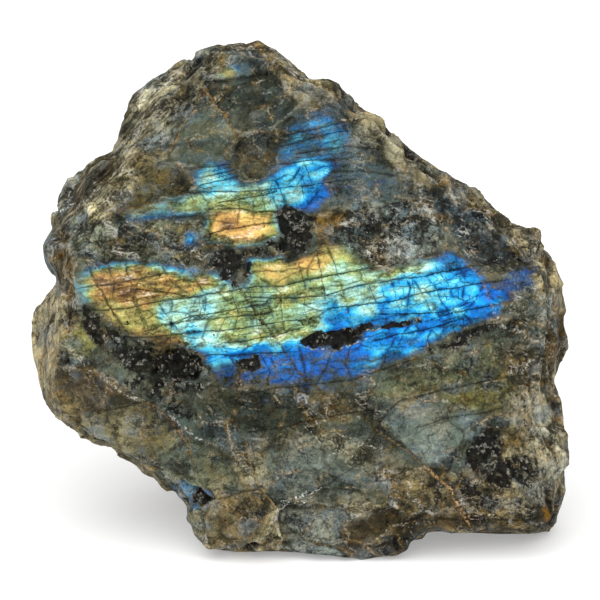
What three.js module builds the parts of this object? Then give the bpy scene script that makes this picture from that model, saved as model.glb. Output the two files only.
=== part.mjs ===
// A rough chunk of labradorite: one broken piece of dark feldspar that stands on its broken foot.
// Its flash face, where the colours play, looks towards -Y and leans back. Millimetres, +Z up.
import * as THREE from "three";
import { ImprovedNoise } from "three/addons/math/ImprovedNoise.js";
import { mergeVertices } from "three/addons/utils/BufferGeometryUtils.js";

// Driving dimensions. The stone is described in the frame of its flash face: u runs to the right,
// v up the face and w into the stone, all from the middle of the outline.
const LEAN = THREE.MathUtils.degToRad(20); // the flash face leans back this far from upright
const SEAT_DROP = 37.6; // height of the outline's middle above the surface the stone stands on
const FACE_DEPTH = -20; // the flash face lies this far in front of the outline's middle
const BACK_DEPTH = 27; // the broken back lies this far behind it
const EDGE_WEAR = 0.8; // how far a broken edge is rounded off
const SEAT_FLAT = 0.05; // what comes this close to the surface lies flat on it

// The outline of the stone across its widest section, seen square to the flash face,
// clockwise from the peak: the corners [u, v] between its straight breaks.
const OUTLINE = [
  [-10, 50.3], [-7.8, 48.8], [-4.1, 48], [-2.4, 45.7], [0.6, 44.1], [3.3, 42.4], [6.1, 41.3],
  [8.7, 38.7], [12, 36.9], [14.6, 35.2], [15.9, 33.3], [19.1, 31.1], [21.5, 29.8], [24.8, 26.9],
  [27, 25.5], [29.6, 23.5], [33.5, 22.6], [35.7, 20], [38.3, 17.2], [39.6, 15.2], [42.6, 13.3],
  [45, 10.2], [47.4, 7.8], [50, 4.4], [51, -0.4], [50.8, -4.1], [49.2, -8.7], [46.9, -11.7],
  [48.2, -16.7], [48.9, -21.3], [49.7, -28.7], [49, -32.6], [48.9, -36], [48.2, -41.2],
  [42.6, -41.4], [37, -41.4], [27.8, -40.9], [21.8, -40.9], [20.8, -43.8], [17.6, -46.5],
  [12, -47.2], [5.6, -45.7], [-2.8, -44.8], [-13.3, -45], [-17.6, -44], [-19.6, -40.9],
  [-20.8, -36], [-23.3, -32.9], [-28.6, -30.6], [-32.9, -26.9], [-38.9, -23.9], [-45.2, -21],
  [-46.5, -17.8], [-47.6, -15], [-48.9, -10.2], [-50.3, -4.6], [-49.6, -1.3], [-47.4, 2],
  [-44.4, 5], [-45.8, 10.2], [-45, 14.8], [-44.8, 20.7], [-42.6, 24.6], [-38.9, 27.6],
  [-34.6, 28.5], [-33.6, 31.6], [-32.3, 35.4], [-31.7, 39], [-29, 41.5], [-26.4, 42.2],
  [-24.6, 44.6], [-20.4, 46.8], [-17.2, 48.4], [-14.4, 49.8],
].map(([u, v]) => ({ u, v, angle: Math.atan2(v, u) }));

// Breaks that cut the front and the back. Each starts at a line across the face, square to the
// direction `toward` (degrees, 0 to the right and 90 up) and `from` away from the middle, and falls
// away from that line by `slope` mm of depth for each mm.
const FRONT_BREAKS = [
  { name: "flash face", toward: 40, from: 0, slope: 0.03 },
  { name: "upper left shoulder", toward: 131.5, from: 40.6, slope: 1.9 },
  { name: "top left shoulder", toward: 143, from: 40, slope: 1.9 },
  { name: "peak facet", toward: 116.4, from: 33.9, slope: 0.45 },
  { name: "right shoulder", toward: 51, from: 34, slope: 3.2 },
  { name: "left flank", toward: 180, from: 43, slope: 2.2 },
  { name: "lower left facet", toward: 229, from: 34.4, slope: 0.55 },
  { name: "foot facet", toward: 268, from: 16, slope: 0.1 },
  { name: "right flank", toward: 355, from: 44.5, slope: 1.2 },
  { name: "right corner chip", toward: 20, from: 46.5, slope: 1.8 },
];
const BACK_BREAKS = [
  { name: "back", toward: 88, from: 0, slope: 0.45 },
  { name: "back left", toward: 165, from: 14, slope: 0.9 },
  { name: "back right", toward: 12, from: 20, slope: 1.1 },
  { name: "back top left", toward: 128, from: 28, slope: 1.3 },
  { name: "back top right", toward: 50, from: 18, slope: 0.8 },
  { name: "back lower left", toward: 232, from: 22, slope: 1.5 },
  { name: "back lower right", toward: 312, from: 46, slope: 1.8 },
];

// The face broke along cleavage cracks into blocks: the middle of each block, and how far it stands
// behind the flash face (or in front of it, below 0).
const FACE_BLOCKS = [
  { name: "flash, middle", u: 2, v: -1, step: 0 },
  { name: "flash, left", u: -26, v: 2, step: 0 },
  { name: "flash, right", u: 26, v: 2, step: 0 },
  { name: "flash, top", u: 2, v: 25, step: 0 },
  { name: "left shelf", u: -31, v: 14, step: 0.9 },
  { name: "grey pane", u: -19, v: 32, step: 0.3 },
  { name: "peak", u: -8, v: 40, step: -0.5 },
  { name: "pale right edge", u: 17, v: 30, step: 0.8 },
  { name: "dark right shelf", u: 25, v: 14.5, step: 1 },
  { name: "far right", u: 41, v: 12, step: 1.3 },
  { name: "right corner", u: 42, v: -6, step: 1.1 },
  { name: "brown wedge", u: -35, v: -18, step: 0.8 },
  { name: "lower left pane", u: -23, v: -25, step: 0.2 },
  { name: "belly", u: 4, v: -25, step: -0.6 },
  { name: "lower right pane", u: 25, v: -20, step: 0.1 },
  { name: "foot block", u: -12, v: -38, step: -0.4 },
  { name: "foot recess", u: 6, v: -41, step: 0.9 },
  { name: "vein block", u: 23, v: -34, step: 0 },
  { name: "right foot", u: 42, v: -36, step: 0.9 },
];

// Hollows in the face where softer dark minerals broke out: middle, half length, half width,
// turn of the long side in degrees, and depth.
const HOLLOWS = [
  { name: "centre inclusion", u: -2, v: 13, long: 5.5, wide: 3.6, turn: 75, depth: 1.3 },
  { name: "middle inclusion", u: -12, v: 9.5, long: 5, wide: 2.6, turn: -40, depth: 1 },
  { name: "lower left band", u: -29, v: -9, long: 12, wide: 3.4, turn: -25, depth: 1.7 },
  { name: "dark lens", u: 7, v: -5.6, long: 7, wide: 2, turn: 8, depth: 1 },
  { name: "mica nest", u: 35.5, v: -28.5, long: 8, wide: 4.5, turn: -60, depth: 2.6 },
  { name: "foot pit", u: -19.3, v: -34.6, long: 2.8, wide: 2.4, turn: 0, depth: 3.2 },
];

// How fast the side wall draws in, in mm for each mm in front of and behind the widest section.
const WALL_DEPTH = -3;
const WALL_TAPER_FRONT = 0.12;
const WALL_TAPER_BACK = 0.3;

// Relief of the broken sides: lumps, then ledges where the layers of the stone end, each `thick` deep,
// then the blocks that cleavage broke them into. A block is about `across` wide, stands up to `height`
// in or out, and leans by up to `lean`.
const LUMP = { across: 14, height: 1.4 };
const LEDGE = { thick: 7.5, height: 1 };
const SIDE_BLOCKS = [
  { across: 13, height: 1.1, lean: 0.24 },
  { across: 6, height: 0.4, lean: 0.28 },
];
const SEED_SPREAD = 0.45; // how far a block's middle strays from its cell's, as a share of the cell
const STEP_WIDTH = 0.6; // mm over which one block's surface passes into the next one's
const BLOCK_WANDER = 5; // how far the cracks between the face's blocks wander, in mm
const SIDE_CHIP = 1; // the relief as a whole lies this far inside the smooth breaks
const RIM_SHARE = 0.06; // less relief at the widest section, whose corners are breaks already
const RELIEF_REACH = 6; // mm from the flash face, the widest section or the seat to full relief

// Mesh: the steps along each edge of the starting icosahedron, and how the points are evened out.
const ICO_STEPS = 20;
const CAST_REACH = 90;
const CAST_HALVINGS = 30;
const EVEN_ROUNDS = 16;
const EVEN_SHARE = 0.5;
const PROBE = 0.05;

const noise = new ImprovedNoise();

// Distance from the middle to the outline in the direction of an angle.
function outlineReach(angle) {
  for (let i = 0; i < OUTLINE.length; i++) {
    const a = OUTLINE[i];
    const b = OUTLINE[(i + 1) % OUTLINE.length];
    const span = clockwise(a.angle, b.angle);
    if (clockwise(a.angle, angle) > span) continue;
    const du = b.u - a.u;
    const dv = b.v - a.v;
    return (a.u * dv - a.v * du) / (Math.cos(angle) * dv - Math.sin(angle) * du);
  }
  throw new Error("the outline does not close");
}

// The turn from one angle clockwise to another, from 0 to a full turn.
function clockwise(from, to) {
  return THREE.MathUtils.euclideanModulo(from - to, 2 * Math.PI);
}

function smoothMax(a, b) {
  const near = Math.max(EDGE_WEAR - Math.abs(a - b), 0);
  return Math.max(a, b) + (near * near) / (4 * EDGE_WEAR);
}

// How far p lies past a break's line, seen square to the face.
function pastLine(p, { toward, from }) {
  const turn = THREE.MathUtils.degToRad(toward);
  return p.x * Math.cos(turn) + p.z * Math.sin(turn) - from;
}

// The height of the nearest of some blocks, passing over to the next one's where both are as near.
function nearestHeight(blocks) {
  const nearest = Math.min(...blocks.map(({ away }) => away));
  let total = 0;
  let height = 0;
  for (const block of blocks) {
    const share = Math.exp((nearest - block.away) / STEP_WIDTH);
    total += share;
    height += share * block.height;
  }
  return height / total;
}

// How far the face's surface lies behind the flash face's plane at p: its block's step, and hollows.
function faceSetBack(p) {
  const wander = BLOCK_WANDER * noise.noise(p.x / LUMP.across, 0, p.z / LUMP.across);
  const blocks = FACE_BLOCKS.map(({ u, v, step }) => ({
    away: Math.hypot(p.x + wander - u, p.z + wander - v),
    height: step,
  }));
  let depth = nearestHeight(blocks);
  for (const hollow of HOLLOWS) {
    const turn = THREE.MathUtils.degToRad(hollow.turn);
    const u = p.x - hollow.u;
    const v = p.z - hollow.v;
    const along = (u * Math.cos(turn) + v * Math.sin(turn)) / hollow.long;
    const across = (v * Math.cos(turn) - u * Math.sin(turn)) / hollow.wide;
    depth += hollow.depth * Math.exp(-(along * along + across * across));
  }
  return depth;
}

function sideWall(p) {
  const reach = outlineReach(Math.atan2(p.z, p.x));
  const behind = p.y - WALL_DEPTH;
  const taper = behind > 0 ? WALL_TAPER_BACK * behind : -WALL_TAPER_FRONT * behind;
  return Math.hypot(p.x, p.z) - reach + taper;
}

// A number from -1 to 1 that belongs to a cell of a grid, the same on every run.
function cellValue(cell, which) {
  const wave = Math.sin(cell.x * 127.1 + cell.y * 311.7 + cell.z * 74.7 + which * 53.3) * 43758.5453;
  return 2 * (wave - Math.floor(wave)) - 1;
}

// How far the cleavage block that holds p stands out, with its lean.
function sideBlock(p, { across, height, lean }) {
  const home = p.clone().divideScalar(across).floor();
  const blocks = [];
  for (let n = 0; n < 27; n++) {
    const cell = new THREE.Vector3((n % 3) - 1, (Math.floor(n / 3) % 3) - 1, Math.floor(n / 9) - 1).add(home);
    const away = new THREE.Vector3(cellValue(cell, 1), cellValue(cell, 2), cellValue(cell, 3));
    away.multiplyScalar(SEED_SPREAD).add(cell).addScalar(0.5).multiplyScalar(-across).add(p);
    const leaning = new THREE.Vector3(cellValue(cell, 5), cellValue(cell, 6), cellValue(cell, 7));
    blocks.push({ away: away.length(), height: height * cellValue(cell, 4) + lean * away.dot(leaning) });
  }
  return nearestHeight(blocks);
}

function sideRelief(p) {
  let height = LUMP.height * noise.noise(p.x / LUMP.across, p.y / LUMP.across, p.z / LUMP.across);
  const layer = (p.y + height) / LEDGE.thick;
  height += LEDGE.height * (0.5 - THREE.MathUtils.euclideanModulo(layer, 1));
  for (const blocks of SIDE_BLOCKS) height += sideBlock(p, blocks);
  const offRim = THREE.MathUtils.smoothstep(Math.abs(p.y - WALL_DEPTH), 0, RELIEF_REACH);
  return (height - SIDE_CHIP) * THREE.MathUtils.lerp(RIM_SHARE, 1, offRim);
}

// How far the surface stands out at p from the smooth breaks. The seat stays flat.
function relief(p) {
  const offFace = THREE.MathUtils.smoothstep(p.y, FACE_DEPTH, FACE_DEPTH + RELIEF_REACH);
  const offSeat = THREE.MathUtils.smoothstep(heightAboveSeat(p), 0, RELIEF_REACH);
  return offSeat * THREE.MathUtils.lerp(-faceSetBack(p), sideRelief(p), offFace);
}

// Height of p above the surface that the stone stands on.
function heightAboveSeat(p) {
  return p.z * Math.cos(LEAN) - p.y * Math.sin(LEAN) + SEAT_DROP;
}

// Below 0 inside the stone and above 0 outside it, about the distance to its surface.
function stoneField(p) {
  let field = sideWall(p);
  for (const cut of FRONT_BREAKS) {
    const depth = FACE_DEPTH + cut.slope * pastLine(p, cut);
    field = smoothMax(field, (depth - p.y) / Math.hypot(1, cut.slope));
  }
  for (const cut of BACK_BREAKS) {
    const depth = BACK_DEPTH - cut.slope * pastLine(p, cut);
    field = smoothMax(field, (p.y - depth) / Math.hypot(1, cut.slope));
  }
  return smoothMax(field, -heightAboveSeat(p));
}

// Moves p out from the middle to the stone's surface.
function castToSurface(p) {
  const direction = p.clone().normalize();
  let inside = 0;
  let outside = CAST_REACH;
  for (let i = 0; i < CAST_HALVINGS; i++) {
    const middle = (inside + outside) / 2;
    if (stoneField(p.copy(direction).multiplyScalar(middle)) < 0) inside = middle;
    else outside = middle;
  }
}

// The direction out of the stone at p, as long as the field is steep there.
function outward(p) {
  const field = stoneField(p);
  const slope = new THREE.Vector3();
  for (const axis of ["x", "y", "z"]) {
    const probe = p.clone();
    probe[axis] += PROBE;
    slope[axis] = (stoneField(probe) - field) / PROBE;
  }
  return slope;
}

// Moves p square to the surface until it lies on it.
function pullToSurface(p) {
  const slope = outward(p);
  p.addScaledVector(slope, -stoneField(p) / slope.lengthSq());
}

// Evens out the spacing of the points, so that the small breaks show equally well on every side.
function evenOut(points, index) {
  const neighbours = points.map(() => new Set());
  for (let i = 0; i < index.length; i += 3) {
    const corners = [index[i], index[i + 1], index[i + 2]];
    for (const a of corners) for (const b of corners) if (a !== b) neighbours[a].add(b);
  }
  for (let round = 0; round < EVEN_ROUNDS; round++) {
    const means = neighbours.map((near) => {
      const mean = new THREE.Vector3();
      for (const j of near) mean.add(points[j]);
      return mean.divideScalar(near.size);
    });
    points.forEach((p, i) => {
      p.lerp(means[i], EVEN_SHARE);
      pullToSurface(p);
      pullToSurface(p);
    });
  }
}

// From the face's frame to the standing stone's.
function standUp(p) {
  const height = heightAboveSeat(p);
  const back = p.z * Math.sin(LEAN) + p.y * Math.cos(LEAN);
  p.set(p.x, back, height < SEAT_FLAT ? 0 : height);
}

function chunkGeometry() {
  const ball = new THREE.IcosahedronGeometry(1, ICO_STEPS);
  ball.deleteAttribute("normal");
  ball.deleteAttribute("uv");
  const geometry = mergeVertices(ball);
  const position = geometry.getAttribute("position");
  const points = [];
  for (let i = 0; i < position.count; i++) {
    points.push(new THREE.Vector3().fromBufferAttribute(position, i));
  }
  points.forEach(castToSurface);
  evenOut(points, geometry.index.array);
  points.forEach((p) => p.addScaledVector(outward(p).normalize(), relief(p)));
  points.forEach(standUp);
  points.forEach((p, i) => position.setXYZ(i, p.x, p.y, p.z));
  geometry.computeBoundingBox();
  const middle = geometry.boundingBox.getCenter(new THREE.Vector3());
  geometry.translate(-middle.x, -middle.y, 0);
  geometry.computeVertexNormals();
  return geometry;
}

const feldspar = new THREE.MeshStandardMaterial({
  name: "labradorite",
  color: 0x5b6260,
  roughness: 0.5,
  metalness: 0,
  flatShading: true,
});

const stone = new THREE.Group();
const chunk = new THREE.Mesh(chunkGeometry(), feldspar);
chunk.name = "labradorite_chunk";
stone.add(chunk);

export default stone;
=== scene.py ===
"""A rough chunk of labradorite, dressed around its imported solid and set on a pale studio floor."""

import math
from collections import namedtuple

import bmesh
import bpy
import numpy as np
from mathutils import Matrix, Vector, noise


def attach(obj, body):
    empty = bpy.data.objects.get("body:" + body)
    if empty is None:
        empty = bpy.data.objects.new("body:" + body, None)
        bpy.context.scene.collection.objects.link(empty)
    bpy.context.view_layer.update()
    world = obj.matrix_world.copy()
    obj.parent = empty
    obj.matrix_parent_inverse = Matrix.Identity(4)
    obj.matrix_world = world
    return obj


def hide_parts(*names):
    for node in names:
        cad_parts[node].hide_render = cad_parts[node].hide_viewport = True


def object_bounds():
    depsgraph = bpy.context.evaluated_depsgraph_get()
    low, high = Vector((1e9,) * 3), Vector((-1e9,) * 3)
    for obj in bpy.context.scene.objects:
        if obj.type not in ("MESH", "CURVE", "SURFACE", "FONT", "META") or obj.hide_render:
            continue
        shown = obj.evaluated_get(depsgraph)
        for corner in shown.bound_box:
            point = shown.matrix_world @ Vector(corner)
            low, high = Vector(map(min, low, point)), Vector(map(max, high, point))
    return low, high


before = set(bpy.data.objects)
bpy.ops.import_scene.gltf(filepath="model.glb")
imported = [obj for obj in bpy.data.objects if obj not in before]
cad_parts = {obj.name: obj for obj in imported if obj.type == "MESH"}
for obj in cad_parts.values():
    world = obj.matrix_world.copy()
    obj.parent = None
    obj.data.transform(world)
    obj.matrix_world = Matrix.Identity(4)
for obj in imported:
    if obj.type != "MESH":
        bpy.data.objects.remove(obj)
CAD_LOW, CAD_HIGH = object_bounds()

bl_info = {
    "name": "Rough labradorite chunk",
    "version": (1, 0, 0),
    "blender": (4, 5, 0),
    "location": "3D View > Sidebar > Labradorite",
    "description": "Dresses the packed stone with its broken relief, colour flashes and studio stage",
    "category": "Object",
}

STONE_NODE = "labradorite_chunk"
STONE_PIECE = "rough_labradorite"
MM = 0.001

# The stone's mesh and relief. Heights and distances are in mm unless a line says otherwise.
MERGE_REACH = 1e-6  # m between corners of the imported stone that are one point
SEAT_TOP = 1e-6  # m; points below it belong to the flat seat
DIVISIONS = 3  # times that long edges are halved
FRONT_FACING = 0.15  # facing of a face that is divided as finely as the front
EVENING = 0.4  # share of the way to its neighbours that each point moves after a division
SHARP_ANGLE = math.radians(30)
FLANK_SWELL = 0.7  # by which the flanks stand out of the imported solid
LAYER_SLOPE = np.array((0.55, 0.55, -0.62))  # across the thin layers
LAYER_THICKNESS = 2.3
VEIN_BANK = 0.4  # from a vein's edge to the end of its groove
CRACK_DEPTH, CRACK_REACH = 0.12, 0.5
# Painted light and shade: a point's tint brightens with its height above its surroundings and darkens in
# hollows.
STANDING = 0.3  # height above its surroundings that brightens a point's tint by one measure

# What is painted on the stone.
LINE_REACH = 9.0  # mm from a line at which it is no longer felt
SEEN = 0.3  # share of facing the picture at which a line shows
LAYERED_SOFT, FIBROUS_SOFT = 24, 20  # pixels
PATCH_SPREAD, FLASH_SPREAD, POCKET_SPREAD = 2.8, 2.0, 3.0  # painted edges in widths of a zone's soft edge
HUE_OUTSIDE, HUE_INSIDE = 12, -6  # pixels from a flash's outline where its hue begins and is full
FLASH_EVENING = 8  # rounds of evening out the flashes' strength
TINT_GAIN = np.array((0.74, 0.74, 0.66))  # from a tint as the studio light shows it to the stone's own
SATURATION = 1.2
FLASH_GLINT = (0.78, 0.88, 0.8)
STONE_GLOSS = 0.08
BUMP_STRENGTH, BUMP_DEPTH = 0.8, 0.3 * MM
FLOOR_ROUGHNESS = 0.9

# The picture is a square that looks at the flash face from the front. Places on the front of the stone
# are given in its pixels, because that is where the eye reads them; sizes and heights are in mm.
PICTURE = 600
PICTURE_SCALE = 0.185  # mm of stone to a pixel, at the depth of the face's middle
PICTURE_RISE = 1.85  # mm from the face's middle up to the picture's
CAMERA_DISTANCE = 650.0  # mm
CAMERA_TILT = math.radians(20)
FACE_MIDDLE = np.array((-0.125, 2.0, 37.6))  # mm, in the stone's frame
SENSOR_WIDTH = 36.0
FOCAL_PIXELS = CAMERA_DISTANCE / PICTURE_SCALE
TO_RIGHT = np.array((1.0, 0.0, 0.0))
TO_UP = np.array((0.0, math.sin(CAMERA_TILT), math.cos(CAMERA_TILT)))
TO_BACK = np.array((0.0, math.cos(CAMERA_TILT), -math.sin(CAMERA_TILT)))
LIGHT_DIRECTION = Vector((0.12, 0.36, -0.92))

# Turns of the stone's grain in the picture: along the long cracks, down with the crumbs, up with the
# splits, along the ends of the layers and down with the fibres.
LONG_TURN, FALL_TURN, SPLIT_TURN, LAYER_TURN, FIBRE_TURN = (
    (-CAMERA_TILT, math.radians(angle), 0) for angle in (-8, 28, -58, -50, -102))

# Zones and lines on the front. Outlines and points are in the picture's pixels, and so is `soft`, the width
# of a zone's edge. Heights, depths, grooves and half widths are in mm. Colours are hex, hues are places on the
# flash ramp, and strength, share and flecks go from 0 to 1.
Flash = namedtuple("Flash", "name hue strength soft outline")
Glow = namedtuple("Glow", "name strength soft outline")
Patch = namedtuple("Patch", "name colour share soft flecks outline")
Vein = namedtuple("Vein", "name colour share half_width groove points")
Pocket = namedtuple("Pocket", "name share soft depth outline")
Step = namedtuple("Step", "name height soft outline")

# Hues along the flash ramp, from the warm end to the cold one.
RUST, GOLD, YELLOW, LIME, GREEN, PALE_CYAN, CYAN, SKY, BLUE, DEEP, VIOLET = (
    0.02, 0.12, 0.24, 0.36, 0.46, 0.56, 0.66, 0.74, 0.81, 0.9, 0.99,
)
FLASH_RAMP = (
    (0.00, "#6e4c2a"),
    (0.06, "#8e6c42"),
    (0.14, "#d0a45c"),
    (0.24, "#c2b066"),
    (0.36, "#b2b468"),
    (0.46, "#9aba80"),
    (0.56, "#b0e6d6"),
    (0.66, "#5cc6e0"),
    (0.74, "#1ea2ec"),
    (0.81, "#147edc"),
    (0.88, "#1c5fba"),
    (0.94, "#38649a"),
    (1.00, "#46607c"),
)

# Colour flashes on the face, painted one over the other.
FLASHES = (
    Flash("dim upper blue", SKY - 0.02, 0.56, 10, (
        (276, 165), (279, 140), (300, 113), (320, 107), (338, 112), (350, 128), (352, 146), (344, 160))),
    Flash("dim teal", CYAN + 0.02, 0.36, 10, ((330, 140), (345, 132), (360, 142), (352, 158), (332, 158))),
    Flash("right fade", VIOLET, 0.3, 14, (
        (326, 168), (345, 158), (378, 160), (396, 175), (402, 192), (380, 202), (345, 204), (326, 198))),
    Flash("bright upper band", SKY + 0.01, 1.0, 4, (
        (270, 176), (285, 164), (331, 160), (332, 172), (322, 181), (323, 194), (312, 202), (300, 210),
        (283, 210), (266, 206), (258, 196), (262, 184))),
    Flash("pale upper band", CYAN + 0.03, 1.0, 6, (
        (262, 192), (276, 186), (292, 186), (298, 194), (290, 204), (276, 207), (264, 203))),
    Flash("deep upper end", BLUE + 0.02, 0.85, 4, (
        (298, 209), (312, 200), (325, 191), (332, 196), (323, 206), (315, 213), (301, 214))),
    Flash("upper left cyan", CYAN - 0.02, 0.72, 5, (
        (195, 176), (207, 164), (226, 168), (238, 173), (231, 180), (240, 191), (236, 199), (220, 198),
        (206, 192), (200, 186))),
    Flash("blue tip", BLUE, 0.45, 4, ((218, 152), (226, 150), (228, 166), (219, 166))),
    Flash("upper green", GREEN + 0.03, 0.9, 5, (
        (222, 201), (236, 194), (246, 184), (262, 186), (266, 200), (276, 209), (262, 214), (243, 211),
        (226, 211))),
    Flash("streak blue", BLUE + 0.02, 0.5, 4, (
        (126, 220), (146, 214), (170, 211), (200, 209), (201, 214), (172, 219), (148, 224), (130, 224))),
    Flash("streak lime", LIME + 0.01, 0.6, 4, (
        (120, 214), (140, 207), (164, 202), (181, 196), (197, 196), (207, 204), (213, 211), (196, 211),
        (175, 210), (157, 213), (138, 216))),
    Flash("streak cyan end", GREEN + 0.04, 0.66, 5, (
        (178, 197), (197, 195), (208, 206), (196, 209), (182, 206))),
    Flash("gold fringe", CYAN, 0.85, 4, (
        (203, 220), (212, 212), (268, 209), (277, 216), (284, 231), (273, 240), (240, 245), (222, 246),
        (204, 238))),
    Flash("gold pane", GOLD + 0.06, 1.0, 4, (
        (212, 215), (228, 209), (262, 211), (270, 214), (270, 224), (275, 231), (262, 237), (240, 238),
        (222, 240), (206, 237), (210, 226))),
    Flash("gold pane core", GOLD + 0.02, 0.95, 8, ((222, 220), (240, 216), (240, 234), (222, 236))),
    Flash("blue spot", SKY + 0.02, 0.8, 5, ((182, 236), (192, 232), (199, 240), (194, 248), (184, 247))),
    Flash("peak blue", DEEP + 0.04, 0.2, 8, ((232, 58), (246, 52), (262, 60), (252, 70), (236, 72))),
    Flash("peak lime", LIME - 0.02, 0.72, 6, ((212, 76), (224, 66), (240, 70), (232, 80), (216, 81))),
    Flash("island gold", RUST + 0.06, 0.62, 5, (
        (310, 240), (320, 235), (332, 236), (334, 247), (321, 253))),
    Flash("island fringe", CYAN, 0.5, 3, ((305, 233), (311, 232), (312, 244), (306, 246))),
    Flash("left olive", LIME - 0.04, 0.4, 6, ((66, 278), (82, 270), (90, 286), (84, 304), (72, 300))),
    Flash("upper fringe", SKY, 0.6, 5, (
        (84, 268), (100, 262), (126, 259), (160, 261), (188, 267), (222, 273), (220, 281), (185, 276),
        (150, 270), (120, 270), (92, 274))),
    Flash("left gold", GOLD + 0.08, 0.76, 6, (
        (82, 284), (96, 274), (120, 268), (150, 267), (170, 275), (188, 281), (205, 277), (216, 284),
        (200, 293), (180, 299), (150, 302), (120, 305), (95, 306), (84, 298))),
    Flash("left rust", RUST + 0.05, 0.7, 7, ((100, 280), (118, 276), (134, 284), (120, 294), (104, 292))),
    Flash("left green edge", GREEN + 0.04, 0.7, 5, (
        (76, 284), (86, 284), (90, 304), (102, 312), (88, 312))),
    Flash("left lime", YELLOW + 0.04, 0.92, 7, (
        (97, 308), (130, 303), (156, 300), (162, 312), (156, 326), (168, 332), (150, 338), (130, 337),
        (114, 329), (104, 318))),
    Flash("lower left bits", GOLD, 0.55, 5, ((140, 341), (160, 336), (180, 344), (173, 353), (152, 351))),
    Flash("pale cyan pane", PALE_CYAN + 0.03, 1.0, 6, (
        (157, 309), (180, 299), (208, 292), (222, 285), (232, 298), (228, 314), (202, 326), (182, 331),
        (164, 326))),
    Flash("green pane", GREEN, 0.95, 8, (
        (222, 294), (244, 290), (260, 282), (286, 275), (312, 272), (330, 284), (332, 304), (325, 320),
        (308, 332), (290, 345), (264, 352), (240, 351), (222, 346), (205, 332), (218, 316))),
    Flash("upper yellow", YELLOW - 0.03, 0.95, 6, (
        (268, 276), (284, 268), (304, 260), (322, 250), (334, 252), (330, 262), (316, 270), (296, 275),
        (280, 280))),
    Flash("notch fringe", BLUE, 0.7, 4, (
        (243, 266), (250, 256), (272, 255), (288, 259), (280, 264), (256, 270))),
    Flash("notch yellow", YELLOW + 0.05, 0.95, 4, (
        (250, 270), (256, 262), (272, 260), (288, 263), (290, 270), (270, 274))),
    Flash("mid upper fade", LIME - 0.04, 0.5, 12, (
        (326, 246), (346, 246), (382, 266), (400, 266), (380, 276), (345, 268))),
    Flash("mid green", GREEN + 0.06, 1.0, 6, (
        (322, 276), (340, 261), (358, 265), (380, 278), (382, 292), (372, 302), (350, 307), (334, 299))),
    Flash("mid pale core", PALE_CYAN + 0.01, 1.0, 7, (
        (345, 276), (366, 278), (374, 292), (356, 300), (344, 292))),
    Flash("bridge green", LIME + 0.06, 0.85, 6, (
        (378, 270), (400, 266), (424, 262), (420, 271), (396, 280))),
    Flash("cyan pane", CYAN + 0.05, 1.0, 6, (
        (384, 288), (402, 276), (430, 267), (446, 272), (452, 290), (444, 308), (426, 316), (404, 312),
        (388, 304))),
    Flash("cyan pane core", CYAN + 0.01, 1.0, 6, (
        (412, 284), (434, 276), (440, 292), (438, 306), (420, 306))),
    Flash("blue pane", SKY + 0.03, 1.0, 5, (
        (440, 272), (448, 257), (458, 254), (470, 262), (481, 276), (484, 288), (478, 301), (464, 312),
        (450, 309), (446, 290))),
    Flash("blue pane core", SKY - 0.03, 1.0, 6, (
        (456, 284), (468, 282), (472, 294), (462, 300), (454, 294))),
    Flash("violet end", DEEP - 0.03, 0.85, 8, (
        (480, 288), (500, 279), (520, 268), (534, 266), (536, 274), (524, 288), (506, 300), (488, 303))),
    Flash("violet fade", DEEP + 0.06, 0.45, 12, (
        (516, 272), (540, 264), (544, 274), (528, 290), (512, 296))),
    Flash("blue under end", BLUE, 0.92, 5, (
        (456, 318), (480, 304), (502, 301), (494, 316), (474, 326), (456, 331))),
    Flash("blue over lens", BLUE, 0.95, 6, (
        (308, 332), (316, 318), (340, 310), (364, 306), (392, 308), (424, 316), (446, 312), (456, 318),
        (420, 326), (384, 324), (350, 325), (324, 334))),
    Flash("cyan over lens", CYAN + 0.03, 0.95, 5, (
        (304, 312), (318, 300), (334, 298), (340, 308), (318, 316))),
    Flash("cyan bead", CYAN, 0.9, 4, ((350, 312), (362, 308), (372, 312), (362, 319))),
    Flash("green tongue", GREEN + 0.02, 0.9, 5, (
        (300, 322), (316, 316), (322, 324), (308, 340), (292, 346))),
    Flash("blue under lens", BLUE - 0.03, 0.96, 6, (
        (370, 348), (396, 334), (422, 326), (448, 321), (464, 320), (450, 332), (436, 344), (414, 354),
        (392, 360), (372, 362))),
    Flash("deep lower edge", DEEP - 0.03, 0.66, 12, (
        (268, 350), (300, 346), (320, 354), (350, 350), (374, 358), (384, 362), (372, 372), (350, 380),
        (324, 388), (296, 388), (270, 386), (248, 380), (224, 382), (212, 376), (236, 362))),
    Flash("blue lower run", BLUE + 0.01, 0.8, 8, (
        (196, 348), (222, 350), (262, 352), (300, 346), (296, 356), (262, 362), (226, 366), (206, 362))),
    Flash("lower sky", SKY + 0.02, 0.8, 6, ((352, 370), (372, 360), (388, 362), (376, 374), (356, 380))),
    Flash("lower left cyan", CYAN, 0.95, 5, (
        (192, 338), (204, 330), (216, 336), (224, 346), (240, 349), (226, 357), (210, 356), (198, 349))),
    Flash("cyan dot", CYAN, 0.85, 3, ((206, 360), (214, 356), (222, 361), (218, 369), (208, 368))),
    Flash("pit rim", SKY - 0.04, 0.58, 4, (
        (164, 484), (178, 481), (206, 490), (214, 500), (204, 512), (188, 508), (184, 494))),
    Flash("lower right glow", BLUE - 0.04, 0.3, 10, (
        (430, 352), (460, 340), (496, 322), (500, 334), (470, 350), (440, 362))),
    Flash("lower glow", DEEP - 0.06, 0.25, 12, (
        (230, 390), (300, 394), (360, 386), (340, 402), (280, 408), (236, 402))),
)

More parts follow.
